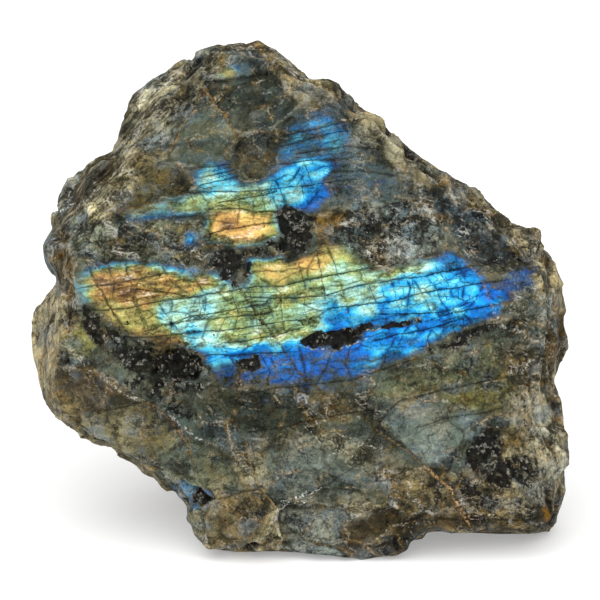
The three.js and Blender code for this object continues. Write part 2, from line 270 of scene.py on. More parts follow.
# The lit fields that hold those flashes together.
GLOWS = (
    Glow("lower band", 1.0, 8, (
        (196, 296), (208, 282), (222, 274), (232, 284), (243, 288), (250, 279), (262, 272), (285, 268),
        (300, 262), (318, 252), (335, 246), (345, 250), (358, 262), (375, 274), (400, 268), (425, 262),
        (442, 258), (455, 252), (467, 260), (478, 268), (484, 282), (492, 284), (500, 290), (500, 300),
        (492, 316), (478, 322), (455, 333), (432, 346), (405, 356), (388, 362), (366, 362), (338, 352),
        (304, 358), (262, 360), (232, 360), (212, 358), (206, 354), (196, 350), (178, 345), (162, 330),
        (156, 312), (176, 300))),
    Glow("left band", 0.78, 8, (
        (84, 278), (94, 268), (125, 262), (160, 263), (185, 269), (205, 272), (222, 276), (200, 298),
        (170, 304), (160, 316), (172, 338), (150, 336), (130, 338), (114, 334), (104, 322), (94, 311),
        (88, 302), (84, 290))),
    Glow("notch", 0.95, 6, (
        (244, 268), (250, 257), (272, 255), (290, 260), (292, 270), (270, 275), (250, 275))),
    Glow("upper bright", 1.0, 7, (
        (256, 198), (262, 186), (272, 172), (284, 163), (310, 160), (332, 159), (334, 172), (325, 181),
        (329, 196), (318, 212), (302, 214), (290, 211), (276, 212), (262, 206))),
    Glow("upper green", 0.8, 8, (
        (172, 205), (182, 196), (197, 190), (198, 178), (196, 170), (208, 162), (226, 165), (236, 172),
        (238, 184), (262, 185), (268, 206), (276, 214), (250, 214), (226, 212), (212, 214), (196, 212),
        (176, 212))),
    Glow("gold pane", 1.0, 7, (
        (203, 236), (206, 222), (214, 210), (240, 208), (268, 208), (278, 216), (284, 230), (274, 240),
        (248, 244), (224, 244), (206, 241))),
    Glow("left streak", 0.4, 8, (
        (118, 216), (140, 207), (164, 202), (182, 196), (200, 197), (210, 210), (198, 215), (175, 220),
        (150, 224), (128, 222))),
    Glow("upper dim", 0.52, 14, (
        (273, 165), (279, 142), (300, 114), (320, 108), (338, 112), (350, 128), (352, 150), (344, 178),
        (334, 202), (330, 165))),
)

# Tints of the stone on the front, painted one over the other, and how many pale flecks each has. Two pale
# patches on the panes are painted sheens.
PATCHES = (
    Patch("face ground", "#4a524c", 0.85, 14, 0.2, (
        (70, 240), (120, 205), (170, 140), (215, 85), (300, 95), (370, 150), (420, 200), (500, 260),
        (530, 330), (520, 420), (460, 500), (300, 505), (180, 470), (100, 390), (75, 320))),
    Patch("left layered band", "#6b695c", 0.9, 7, 0.5, (
        (232, 48), (196, 62), (166, 78), (140, 92), (127, 118), (114, 150), (94, 160), (60, 200), (60, 226),
        (82, 216), (112, 196), (142, 152), (166, 136), (196, 100), (210, 80), (240, 58))),
    Patch("pale knob", "#b6b2a2", 0.9, 5, 0.3, (
        (129, 110), (136, 94), (156, 86), (168, 86), (154, 104), (136, 120))),
    Patch("pale layer", "#a8a28f", 0.75, 4, 0.5, (
        (160, 88), (182, 74), (190, 80), (166, 106), (146, 128), (140, 122))),
    Patch("dark layer", "#3b352b", 0.7, 4, 0.4, (
        (176, 76), (206, 56), (214, 62), (198, 84), (182, 100), (178, 92))),
    Patch("dark recess", "#2e2c28", 0.92, 5, 0.8, (
        (62, 202), (70, 182), (92, 162), (118, 154), (116, 168), (100, 190), (86, 206), (68, 212))),
    Patch("recess rim", "#8f8e83", 0.8, 4, 0.4, (
        (60, 196), (66, 180), (80, 168), (84, 174), (72, 190), (64, 204))),
    Patch("khaki shoulder", "#5a5339", 0.65, 8, 0.4, (
        (118, 186), (138, 160), (166, 164), (188, 182), (180, 196), (150, 201), (122, 206))),
    Patch("khaki pale", "#9a927a", 0.65, 5, 0.8, (
        (118, 178), (130, 168), (140, 176), (134, 190), (120, 194))),
    Patch("rust run", "#74572f", 0.7, 5, 0.4, (
        (84, 222), (106, 211), (150, 203), (170, 204), (140, 212), (104, 220))),
    Patch("shoulder lip", "#d8cfb0", 0.95, 4, 0.4, (
        (86, 208), (108, 197), (118, 203), (108, 214), (90, 219))),
    Patch("mottled shelf", "#686a5a", 0.9, 8, 0.7, (
        (72, 228), (118, 217), (176, 220), (206, 224), (212, 248), (196, 266), (150, 258), (100, 262),
        (74, 256))),
    Patch("shelf blue-grey", "#8a938c", 0.5, 8, 0.5, (
        (74, 232), (100, 222), (116, 232), (104, 254), (80, 258))),
    Patch("shelf dark", "#38362f", 0.7, 6, 0.6, (
        (110, 236), (140, 236), (160, 246), (140, 256), (112, 252))),
    Patch("shelf dark right", "#3a3932", 0.75, 6, 0.7, (
        (196, 244), (214, 240), (232, 250), (222, 268), (200, 268), (188, 256))),
    Patch("left edge", "#5b4f3e", 0.85, 5, 0.5, (
        (52, 222), (66, 220), (74, 262), (78, 300), (66, 300), (54, 280), (48, 250))),
    Patch("left lump", "#a39a85", 0.95, 5, 0.15, (
        (26, 332), (38, 304), (58, 286), (70, 300), (64, 336), (60, 372), (46, 402), (32, 372))),
    Patch("lump pale", "#aca594", 0.7, 6, 0.3, ((42, 306), (58, 294), (60, 316), (52, 336), (42, 330))),
    Patch("groove", "#4a4136", 0.8, 4, 0.6, (
        (64, 292), (74, 292), (76, 330), (68, 362), (60, 362), (64, 330))),
    Patch("olive lens", "#7d7b53", 0.85, 5, 0.4, ((66, 332), (80, 326), (98, 344), (88, 360), (68, 356))),
    Patch("lower left brown", "#544a3c", 0.9, 7, 0.2, (
        (44, 398), (60, 368), (96, 366), (112, 400), (102, 428), (76, 420), (52, 412))),
    Patch("lower left beige", "#8a806a", 0.85, 5, 0.4, (
        (54, 400), (66, 392), (82, 400), (78, 420), (60, 422))),
    Patch("wedge", "#3a3329", 0.95, 6, 0.3, ((84, 366), (104, 372), (140, 400), (104, 408), (92, 392))),
    Patch("lower left pane", "#7d7862", 0.92, 7, 0.1, (
        (78, 424), (104, 410), (150, 404), (166, 420), (182, 440), (150, 456), (122, 452), (98, 436))),
    # A painted sheen on the lower left pane.
    Patch("pane pale", "#9a947e", 0.6, 8, 0.4, ((110, 424), (134, 416), (140, 440), (122, 446))),
    Patch("slate wedge", "#4d5755", 0.9, 6, 0.2, (
        (152, 400), (206, 420), (248, 440), (240, 452), (200, 444), (176, 432))),
    Patch("lower slate pane", "#6a7062", 0.95, 6, 0.2, (
        (136, 460), (186, 442), (216, 448), (250, 474), (246, 490), (204, 490), (160, 482))),
    Patch("slate blue", "#68767f", 0.35, 8, 0.3, ((150, 464), (190, 462), (194, 476), (160, 480))),
    Patch("dark olive field", "#323831", 0.92, 8, 0.45, (
        (196, 386), (240, 390), (304, 392), (318, 422), (308, 440), (250, 440), (214, 420))),
    Patch("ochre field", "#403d30", 0.85, 7, 0.7, (
        (298, 396), (340, 392), (376, 396), (380, 416), (352, 424), (306, 424))),
    Patch("belly pane", "#6a736f", 0.95, 8, 0.2, (
        (252, 450), (300, 440), (352, 438), (380, 446), (378, 470), (352, 494), (300, 502), (268, 498))),
    Patch("shin pale", "#b3ad96", 0.85, 6, 0.3, (
        (236, 454), (262, 456), (268, 484), (246, 490), (234, 472))),
    # A painted sheen on the belly pane.
    Patch("belly pale", "#8a918d", 0.5, 9, 0.25, (
        (276, 450), (308, 442), (328, 456), (330, 492), (296, 502), (272, 486))),
    Patch("belly fibre", "#827c6a", 0.55, 6, 0.7, (
        (312, 430), (334, 432), (368, 452), (404, 480), (418, 498), (396, 494), (352, 466), (326, 446))),
    Patch("right pane", "#6d7875", 0.95, 6, 0.2, (
        (382, 420), (400, 406), (442, 402), (470, 408), (484, 414), (468, 436), (444, 458), (430, 468),
        (408, 450))),
    Patch("right pane pale", "#8d9797", 0.6, 8, 0.3, (
        (424, 434), (446, 432), (450, 452), (432, 464), (422, 450))),
    Patch("olive pane", "#626653", 0.9, 7, 0.5, (
        (366, 392), (420, 366), (452, 356), (496, 342), (504, 366), (446, 388), (400, 400))),
    Patch("olive yellow", "#5c5837", 0.8, 7, 0.6, (
        (440, 396), (490, 380), (522, 374), (516, 402), (482, 412), (452, 410))),
    Patch("right dark green", "#434842", 0.92, 7, 0.6, (
        (486, 326), (520, 296), (552, 298), (562, 342), (532, 362), (500, 352))),
    Patch("right mottle", "#4b4437", 0.85, 6, 0.8, (
        (500, 348), (552, 340), (558, 368), (530, 384), (504, 374))),
    Patch("right flank", "#9a978a", 0.92, 7, 0.35, (
        (506, 402), (540, 386), (558, 410), (572, 470), (556, 496), (520, 496), (522, 442))),
    Patch("flank white", "#c5c4b8", 0.85, 6, 0.3, (
        (540, 428), (552, 424), (564, 464), (556, 492), (544, 484), (546, 456))),
    Patch("flank edge", "#63594b", 0.75, 4, 0.4, (
        (552, 384), (562, 396), (572, 440), (566, 446), (556, 410))),
    Patch("lower right brown", "#675e4c", 0.9, 7, 0.6, (
        (384, 470), (430, 466), (470, 480), (520, 494), (540, 520), (480, 530), (440, 512), (392, 508))),
    Patch("lower right pale", "#958d75", 0.7, 7, 0.6, ((394, 474), (418, 474), (424, 492), (402, 498))),
    Patch("corner dark", "#3c3326", 0.9, 5, 0.4, ((536, 504), (562, 494), (560, 530), (538, 532))),
    Patch("corner rust", "#8a6538", 0.6, 4, 0.3, ((540, 508), (550, 504), (552, 518), (542, 522))),
    Patch("dark ledge", "#2f2a22", 0.92, 4, 0.3, (
        (392, 512), (440, 512), (482, 516), (484, 530), (416, 532), (398, 526))),
    Patch("bottom slate", "#7c807b", 0.92, 7, 0.4, (
        (278, 508), (344, 502), (352, 530), (338, 548), (282, 550))),
    Patch("bottom slate pale", "#8a8f8a", 0.6, 8, 0.3, ((296, 524), (326, 520), (332, 538), (304, 544))),
    Patch("bottom brown", "#3f3526", 0.92, 6, 0.4, (
        (334, 520), (394, 512), (414, 530), (406, 556), (370, 562), (340, 552))),
    Patch("bottom ochre", "#8a7a58", 0.7, 4, 0.3, (
        (364, 546), (384, 530), (398, 522), (402, 530), (384, 544))),
    Patch("foot block", "#686050", 0.95, 4, 0.4, (
        (206, 502), (244, 490), (262, 496), (276, 508), (268, 532), (246, 546), (214, 546), (198, 524))),
    Patch("foot block edge", "#a39c82", 0.8, 3, 0.3, (
        (262, 496), (278, 508), (270, 534), (256, 542), (262, 528), (268, 510))),
    Patch("foot left", "#7f7b67", 0.8, 5, 0.4, (
        (186, 508), (204, 512), (206, 534), (196, 540), (188, 526))),
    Patch("peak ground", "#555248", 0.8, 6, 0.5, (
        (200, 70), (240, 42), (284, 58), (308, 96), (300, 106), (260, 76))),
    Patch("peak pane", "#343b36", 0.95, 4, 0.35, (
        (206, 84), (224, 79), (246, 74), (270, 70), (292, 96), (298, 105), (282, 120), (262, 127),
        (240, 135), (222, 112))),
    Patch("peak slate", "#2b4250", 0.9, 6, 0.3, ((228, 62), (246, 52), (264, 62), (258, 74), (236, 80))),
    Patch("peak beige", "#877c64", 0.85, 5, 0.5, (
        (264, 50), (284, 60), (306, 92), (300, 104), (288, 88), (274, 68))),
    Patch("grey pane", "#4c544a", 0.95, 3, 0.12, (
        (166, 158), (182, 128), (200, 97), (214, 108), (239, 137), (224, 152), (214, 164), (190, 166))),
    Patch("pane cool", "#5a6a68", 0.25, 9, 0.1, ((186, 128), (206, 116), (216, 140), (196, 150))),
    Patch("brown wedge", "#47473b", 0.6, 4, 0.5, (
        (240, 138), (280, 123), (294, 117), (280, 142), (276, 164), (256, 182), (240, 174), (233, 156))),
    Patch("right band", "#2f3a44", 0.92, 8, 0.8, (
        (404, 190), (440, 180), (482, 192), (522, 226), (542, 262), (520, 270), (482, 262), (452, 242),
        (424, 208))),
    Patch("mid mottle", "#626b6c", 0.9, 8, 0.8, (
        (328, 218), (360, 206), (420, 202), (446, 226), (438, 250), (402, 264), (372, 266), (344, 246))),
    Patch("mid pale", "#7b756a", 0.6, 7, 0.9, ((366, 246), (384, 238), (402, 256), (388, 272), (372, 264))),
    Patch("dim slate", "#56656c", 0.85, 8, 0.2, (
        (340, 112), (362, 130), (380, 150), (399, 178), (398, 198), (370, 204), (332, 204), (332, 168),
        (348, 150))),
    Patch("ochre nook", "#57462e", 0.85, 5, 0.5, (
        (314, 216), (346, 208), (352, 216), (330, 234), (318, 236))),
    Patch("shoulder slate", "#414a4c", 0.85, 6, 0.3, (
        (316, 100), (346, 98), (362, 122), (376, 148), (350, 130), (322, 112))),
    Patch("shoulder beige", "#948d79", 0.9, 4, 0.15, (
        (352, 116), (368, 110), (384, 120), (386, 134), (374, 130))),
    Patch("shoulder pale", "#b3b2a4", 0.9, 3, 0.1, (
        (356, 122), (366, 124), (378, 146), (372, 147), (362, 134))),
    Patch("shoulder cream", "#aaa795", 0.92, 4, 0.1, (
        (380, 142), (394, 133), (402, 148), (408, 166), (394, 168), (386, 156))),
    Patch("shoulder tan", "#938b74", 0.9, 5, 0.15, (
        (394, 162), (410, 160), (430, 176), (424, 184), (404, 180))),
    Patch("top tan", "#8c8166", 0.85, 4, 0.4, ((312, 90), (330, 84), (344, 96), (330, 99))),
    Patch("right lump brown", "#6b5d46", 0.85, 4, 0.4, (
        (432, 172), (452, 170), (462, 184), (446, 190), (436, 186))),
    Patch("right lump beige", "#8d8570", 0.85, 5, 0.5, (
        (446, 190), (472, 184), (492, 196), (484, 206), (456, 200))),
    Patch("right rim beige", "#b6aa92", 0.85, 5, 0.5, (
        (484, 198), (504, 208), (536, 246), (552, 274), (538, 272), (508, 228))),
    Patch("right knob", "#c2b597", 0.92, 4, 0.4, (
        (548, 276), (562, 268), (578, 290), (576, 318), (562, 308), (554, 294))),
    Patch("right rim dark", "#443a2e", 0.85, 5, 0.5, (
        (554, 312), (572, 312), (574, 340), (560, 368), (552, 350))),
)

# Pockets of dark mica: black grains in a hollow.
POCKETS = (
    Pocket("centre", 0.88, 5, 0.5, (
        (276, 218), (284, 209), (300, 210), (318, 218), (312, 232), (306, 246), (300, 258), (288, 262),
        (280, 252), (282, 236))),
    Pocket("middle", 0.66, 6, 0.4, (
        (212, 252), (232, 246), (252, 250), (250, 264), (246, 278), (234, 288), (222, 276), (214, 266))),
    Pocket("bridge", 0.58, 4, 0.2, ((246, 248), (284, 240), (284, 252), (252, 258))),
    Pocket("left band core", 0.88, 5, 0.6, (
        (148, 352), (178, 350), (198, 354), (208, 366), (200, 380), (170, 384), (152, 372))),
    Pocket("left band", 0.64, 6, 0.4, (
        (76, 318), (88, 304), (98, 312), (112, 330), (136, 340), (164, 350), (196, 352), (208, 366),
        (200, 380), (168, 388), (140, 384), (118, 364), (92, 340))),
    Pocket("band tail", 0.7, 6, 0.3, ((126, 380), (160, 384), (200, 384), (190, 396), (150, 400))),
    Pocket("small lower", 1.0, 3, 0.4, (
        (236, 362), (246, 356), (260, 355), (262, 366), (250, 374), (238, 372))),
    Pocket("lens", 0.95, 3, 0.4, (
        (300, 344), (318, 334), (346, 330), (370, 328), (362, 340), (334, 348), (312, 349))),
    Pocket("lens tail", 0.55, 3, 0.1, (
        (356, 327), (390, 321), (424, 318), (422, 324), (388, 329), (362, 334))),
    Pocket("right tail", 0.85, 4, 0.2, (
        (440, 346), (462, 332), (492, 322), (494, 330), (470, 342), (446, 354))),
    Pocket("low right", 0.5, 5, 0.1, ((428, 346), (440, 340), (446, 352), (434, 360))),
    Pocket("mica nest", 0.8, 5, 0.5, (
        (466, 446), (478, 430), (494, 426), (502, 442), (504, 458), (518, 474), (512, 490), (488, 486),
        (470, 464))),
    Pocket("nest right", 0.7, 6, 0.3, ((508, 456), (530, 458), (538, 478), (520, 492), (508, 478))),
    Pocket("nest foot", 0.6, 5, 0.2, (
        (458, 470), (480, 488), (502, 492), (498, 510), (470, 506), (458, 490))),
    Pocket("foot pit", 1.0, 2, 0.8, (
        (190, 495), (196, 491), (203, 493), (206, 500), (200, 506), (191, 504))),
    Pocket("star", 0.55, 1.5, 0.05, ((169, 319), (174, 318), (176, 323), (172, 326), (168, 324))),
    Pocket("ledge specks", 0.5, 5, 0.1, ((160, 404), (178, 402), (200, 416), (196, 422), (170, 414))),
    Pocket("upper right specks", 0.5, 8, 0.1, ((366, 214), (394, 208), (400, 232), (380, 244), (362, 232))),
)

# Dark hairline cracks across the face: the long ones, and the steep ones that cross them.
LONG_CRACKS = (
    ((278, 164), (300, 162), (318, 160), (336, 160), (354, 157)),
    ((184, 193), (200, 192), (226, 192), (262, 191), (290, 187), (322, 184), (354, 179)),
    ((220, 203), (240, 199), (262, 196), (276, 192)),
    ((220, 209), (238, 208), (254, 211), (270, 211), (284, 214)),
    ((204, 185), (216, 182), (236, 177)),
    ((186, 168), (206, 167), (228, 165)),
    ((206, 177), (220, 174), (234, 170)),
    ((204, 237), (222, 231), (238, 229), (252, 225), (274, 222)),
    ((280, 146), (296, 143), (312, 138), (346, 131)),
    ((284, 135), (302, 132), (322, 128), (342, 123)),
    ((298, 153), (320, 150), (348, 146), (380, 150)),
    ((334, 172), (360, 170), (392, 176)),
    ((70, 312), (100, 311), (118, 309), (150, 304), (178, 299), (214, 294), (252, 287), (282, 286)),
    ((288, 284), (310, 279), (332, 275), (356, 270), (384, 266)),
    ((146, 331), (166, 325), (190, 318), (216, 313), (242, 308), (270, 303)),
    ((152, 326), (176, 323), (202, 320), (242, 316), (272, 312)),
    ((172, 334), (200, 332), (230, 330), (262, 325), (296, 320)),
    ((118, 338), (140, 338), (160, 337), (182, 334)),
    ((84, 287), (106, 284), (122, 281), (142, 278), (158, 275)),
    ((136, 288), (150, 291), (168, 293), (184, 295)),
    ((246, 297), (276, 298), (302, 297), (322, 296), (346, 289), (372, 284), (400, 279), (430, 275),
     (462, 267), (488, 263)),
    ((330, 308), (356, 305), (382, 302), (400, 299), (420, 294), (440, 290), (458, 287), (482, 283),
     (506, 280)),
    ((380, 314), (400, 313), (420, 314), (436, 313), (452, 310), (466, 304)),
    ((438, 317), (452, 314), (472, 309), (494, 305)),
    ((376, 340), (400, 335), (422, 331), (440, 326), (456, 321)),
    ((228, 342), (252, 340), (276, 336), (300, 328)),
    ((252, 393), (274, 389), (296, 387), (322, 384), (352, 380), (382, 371), (408, 362)),
    ((206, 356), (232, 355), (262, 353), (290, 352)),
    ((250, 432), (280, 428), (300, 425), (320, 419), (346, 414), (368, 411)),
    ((528, 374), (490, 381), (470, 385), (440, 391), (420, 396), (400, 401), (388, 411), (381, 421)),
    ((418, 427), (432, 423), (446, 418), (470, 415), (494, 410)),
    ((100, 411), (112, 410), (126, 407), (142, 402)),
    ((206, 82), (222, 80), (246, 75), (272, 71)),
    ((204, 500), (226, 498), (244, 491), (256, 490)),
    ((360, 493), (340, 489), (322, 490)),
    ((412, 520), (440, 519), (466, 522)),
    ((482, 516), (496, 515), (512, 522)),
)
STEEP_CRACKS = (
    ((86, 264), (94, 278), (104, 294), (114, 312), (124, 332)),
    ((126, 262), (129, 276), (134, 292), (140, 310), (148, 330)),
    ((143, 284), (152, 296), (160, 307), (172, 322), (184, 336)),
    ((172, 306), (172, 322), (170, 338)),
    ((158, 318), (172, 322), (186, 318)),
    ((110, 268), (114, 282), (112, 296)),
    ((164, 270), (172, 282), (186, 292)),
    ((192, 274), (200, 286), (206, 300), (204, 318)),
    ((232, 296), (238, 312), (234, 330)),
    ((268, 300), (274, 320), (270, 340)),
    ((300, 268), (306, 288), (304, 310), (310, 326)),
    ((318, 258), (322, 276), (326, 296)),
    ((404, 272), (410, 288), (408, 304)),
    ((416, 282), (424, 296), (432, 312)),
    ((458, 258), (464, 276), (462, 296)),
    ((350, 350), (346, 364), (352, 380)),
    ((380, 342), (386, 356), (382, 370)),
    ((432, 326), (428, 340), (432, 352)),
    ((330, 352), (326, 368), (318, 382)),
    ((262, 356), (270, 370), (266, 386)),
    ((232, 360), (240, 374), (238, 388)),
    ((189, 192), (194, 202), (200, 213)),
    ((200, 193), (206, 200), (214, 205)),
    ((210, 192), (216, 197), (224, 200)),
    ((238, 198), (239, 210), (237, 224)),
    ((262, 199), (265, 209)),
    ((271, 192), (274, 202), (279, 210)),
    ((275, 180), (280, 190), (284, 200), (288, 209)),
    ((306, 167), (310, 178), (314, 186)),
    ((299, 170), (290, 182), (284, 190)),
    ((302, 187), (304, 197)),
    ((322, 186), (314, 198), (304, 210)),
    ((106, 298), (111, 308), (117, 318), (120, 334)),
    ((132, 284), (134, 300), (140, 314), (144, 330)),
    ((146, 282), (154, 289), (164, 293)),
    ((161, 308), (167, 315), (172, 322)),
    ((173, 304), (172, 314), (172, 326)),
    ((194, 302), (190, 312), (182, 320)),
    ((204, 300), (201, 310), (200, 316)),
    ((228, 314), (222, 326), (218, 334)),
    ((262, 280), (280, 292), (282, 310), (284, 330)),
    ((250, 292), (254, 312), (262, 340)),
    ((328, 248), (334, 266), (341, 286), (348, 308)),
    ((362, 268), (368, 284), (376, 302)),
    ((386, 268), (392, 286), (398, 306)),
    ((428, 279), (436, 290), (441, 300), (447, 308)),
    ((439, 272), (446, 283), (452, 295), (462, 312), (470, 322)),
    ((446, 281), (458, 272), (472, 268)),
    ((482, 288), (474, 302), (466, 312), (456, 326)),
    ((412, 320), (404, 334), (398, 346)),
    ((300, 350), (304, 366), (306, 384)),
    ((380, 420), (378, 432), (372, 440)),
    ((282, 521), (290, 530), (298, 540)),
    ((96, 378), (104, 400), (110, 418)),
    ((350, 470), (338, 478), (326, 486), (314, 494)),
)

# Veins and pale ridges that stand out on the front. A groove below 0 is a ridge.
VEINS = (
    Vein("orange vein", "#b48e60", 0.9, 0.32, 0.25, (
        (424, 466), (434, 475), (450, 490), (458, 505), (468, 524))),
    Vein("orange vein upper", "#7e6640", 0.6, 0.2, 0.15, ((376, 430), (394, 442), (410, 453), (424, 466))),
    Vein("flash seam", "#4a4022", 0.9, 0.3, 0.1, (
        (236, 286), (250, 304), (264, 324), (282, 348), (300, 374), (318, 390), (340, 404), (358, 412),
        (376, 430))),
    Vein("flash seam left", "#4a3c1c", 0.75, 0.24, 0.1, ((96, 284), (106, 300), (116, 316), (128, 334))),
    Vein("peak ochre seam", "#9a7136", 0.6, 0.24, 0.2, (
        (203, 86), (212, 98), (222, 112), (231, 125), (238, 136))),
    Vein("pane seam", "#927541", 0.5, 0.22, 0.2, (
        (202, 90), (196, 104), (188, 116), (180, 126), (174, 140), (166, 154))),
    Vein("peak ridge", "#8f8c7e", 0.4, 0.24, -0.2, (
        (239, 137), (252, 134), (264, 130), (283, 121), (300, 104))),
    Vein("wedge rim", "#b4b2a6", 0.75, 0.2, -0.1, ((240, 181), (250, 181), (258, 179))),
    Vein("crumb ledge", "#c6c1ae", 0.75, 0.28, -0.4, (
        (106, 380), (114, 388), (124, 395), (134, 399), (143, 401))),
    Vein("crumb ledge lower", "#c3c1b4", 0.7, 0.3, -0.35, ((172, 416), (184, 428), (196, 438), (206, 442))),
    Vein("ledge ochre", "#8a6234", 0.5, 0.22, 0.1, (
        (140, 402), (152, 404), (160, 411), (172, 422), (184, 440), (190, 452))),
    Vein("left ochre", "#7d6a48", 0.6, 0.2, 0.2, ((82, 374), (88, 384), (94, 396), (102, 412))),
    Vein("foot vein", "#a08658", 0.6, 0.2, 0.2, ((252, 470), (258, 484), (266, 494), (276, 509))),
    Vein("foot vein upper", "#8f7242", 0.4, 0.22, 0.1, ((246, 440), (248, 458), (252, 470))),
    Vein("belly seam", "#7a6a45", 0.3, 0.3, 0.05, ((292, 428), (285, 445), (278, 464), (262, 480))),
    Vein("left seam", "#5a4a2c", 0.55, 0.18, 0.1, (
        (80, 370), (92, 390), (103, 410), (113, 430), (123, 450), (136, 470))),
    Vein("ledge seam", "#5e4c2c", 0.35, 0.18, 0.1, ((184, 440), (193, 460), (197, 472), (200, 484))),
    Vein("middle seam", "#66532f", 0.45, 0.18, 0.1, (
        (207, 387), (222, 408), (236, 424), (244, 440), (247, 456))),
    Vein("belly seam right", "#5e5030", 0.5, 0.2, 0.05, ((292, 428), (312, 420), (334, 414), (357, 410))),
    Vein("blue seam", "#8a713f", 0.5, 0.18, 0.1, (
        (290, 376), (296, 390), (302, 404), (307, 416), (313, 421))),
    Vein("white lip", "#dcddd6", 0.95, 0.24, -0.3, ((279, 509), (290, 504), (303, 503))),
    Vein("white lip upper", "#d2d3c9", 0.9, 0.3, -0.2, ((287, 500), (295, 499), (304, 496), (316, 492))),
    Vein("right seam", "#8f8062", 0.5, 0.22, 0.1, (
        (420, 190), (425, 203), (434, 210), (440, 222), (448, 232), (458, 246), (466, 260), (474, 268),
        (480, 278), (486, 290), (491, 302), (493, 313))),
    Vein("right white seam", "#c2c1b4", 0.55, 0.28, 0.0, ((493, 313), (498, 322), (508, 330), (520, 331))),
    Vein("right pale seam", "#a9a592", 0.5, 0.22, 0.0, ((498, 320), (484, 326), (472, 334))),
    Vein("pale hair", "#aaa491", 0.65, 0.16, 0.0, ((305, 428), (316, 438), (322, 445))),
    Vein("pale hair right", "#b5a98f", 0.5, 0.24, 0.0, ((322, 420), (335, 432), (348, 438), (358, 447))),
    Vein("pale hair low", "#b0a78f", 0.65, 0.18, 0.0, ((328, 441), (340, 448), (352, 456))),
    Vein("pale hair end", "#b4b0a0", 0.7, 0.18, 0.0, ((360, 443), (376, 449))),
    Vein("pale hair mid", "#b7b6a6", 0.65, 0.2, 0.0, ((320, 459), (330, 456), (342, 452))),
    Vein("left arc", "#a3a9a5", 0.5, 0.2, -0.1, ((68, 250), (73, 238), (84, 228))),
    Vein("shelf arc", "#a9aba4", 0.35, 0.16, 0.0, ((100, 242), (104, 250), (112, 252), (118, 242))),
    Vein("bottom lip", "#a89e86", 0.5, 0.26, -0.1, ((366, 548), (380, 538), (392, 528), (404, 524))),
    Vein("recess scratch", "#dadad0", 0.8, 0.2, 0.0, ((60, 214), (68, 212), (76, 206))),
    Vein("recess streak", "#9c9c94", 0.6, 0.2, 0.0, ((80, 208), (90, 198), (96, 190))),
    Vein("layer streak", "#b4b2a6", 0.7, 0.3, 0.0, ((140, 104), (156, 92), (172, 80))),
    Vein("layer streak low", "#a09c8e", 0.7, 0.3, 0.0, ((132, 150), (138, 138), (146, 128), (162, 112))),
    Vein("layer dark", "#34302a", 0.7, 0.4, 0.2, ((124, 150), (130, 134), (142, 118), (166, 100))),
    Vein("lens rim", "#b3ac8c", 0.7, 0.3, -0.1, ((64, 344), (72, 350), (80, 360))),
    Vein("lens lip", "#b9b496", 0.75, 0.16, 0.0, (
        (301, 346), (312, 350), (334, 349), (350, 345), (366, 339))),
    Vein("lens lip right", "#b4ae90", 0.7, 0.16, 0.0, ((362, 331), (376, 330), (388, 327), (400, 324))),
    Vein("nest rim", "#cfcabb", 0.75, 0.18, 0.0, ((480, 437), (488, 429), (496, 428))),
    Vein("ledge lip", "#c2bda9", 0.75, 0.2, -0.1, ((472, 517), (484, 515), (496, 517), (502, 521))),
    Vein("foot block lip", "#b6b096", 0.8, 0.3, -0.1, ((276, 510), (272, 524), (264, 536), (250, 543))),
)

# Where thin layers end in slanting streaks, and where fibres run steeply down.
LAYERED = (
    ((236, 46), (196, 58), (160, 76), (134, 92), (122, 118), (110, 150), (90, 160), (58, 198), (58, 228),
     (84, 218), (112, 198), (142, 158), (168, 140), (198, 102), (212, 80), (244, 58)),
)
FIBROUS = (
    ((22, 334), (38, 300), (56, 282), (54, 222), (72, 222), (78, 300), (66, 336), (62, 372), (46, 404),
     (30, 376)),
    ((508, 380), (548, 372), (562, 400), (574, 470), (556, 498), (536, 496), (530, 430), (512, 410)),
)

# Panes of the front that stand out of the broken surface or lie back in it.
STEPS = (
    Step("grey pane", -0.35, 2, (
        (166, 158), (182, 128), (200, 97), (214, 108), (239, 137), (224, 152), (190, 166))),
    Step("peak pane", -0.5, 2, (
        (206, 84), (246, 74), (270, 70), (298, 105), (282, 120), (240, 135), (222, 112))),
    Step("brown wedge", -0.55, 2, ((240, 138), (294, 117), (280, 142), (276, 164), (256, 182), (233, 156))),
    Step("mottled shelf", -0.6, 3, (
        (72, 228), (118, 217), (206, 216), (212, 248), (196, 266), (100, 262), (74, 256))),
    Step("right band", -0.7, 3, (
        (330, 214), (404, 202), (482, 200), (536, 262), (482, 262), (440, 256), (372, 266))),
    Step("foot block", 0.5, 2, (
        (206, 502), (244, 490), (262, 496), (276, 508), (268, 532), (246, 546), (206, 546))),
    Step("slate wedge", -0.4, 2, ((152, 404), (206, 442), (250, 474), (204, 488), (150, 470), (176, 440))),
    Step("bottom slate", -0.8, 3, ((278, 508), (306, 503), (344, 506), (400, 512), (400, 552), (282, 552))),
    Step("right pane", 0.35, 2, (
        (382, 420), (400, 404), (442, 390), (484, 410), (444, 458), (430, 470), (408, 450))),
    Step("right flank", -0.5, 4, ((506, 380), (560, 376), (572, 470), (556, 496), (520, 496), (522, 442))),
)


def linear(hex_colour):
    """A hex colour as scene-linear red, green and blue."""
    shares = [int(hex_colour[i:i + 2], 16) / 255 for i in (1, 3, 5)]
    return tuple(s / 12.92 if s <= 0.04045 else ((s + 0.055) / 1.055) ** 2.4 for s in shares)


def smoothstep(low, high, value):
    """0 below low, 1 above high, and smooth between."""
    share = np.clip((value - low) / (high - low), 0, 1)
    return share * share * (3 - 2 * share)


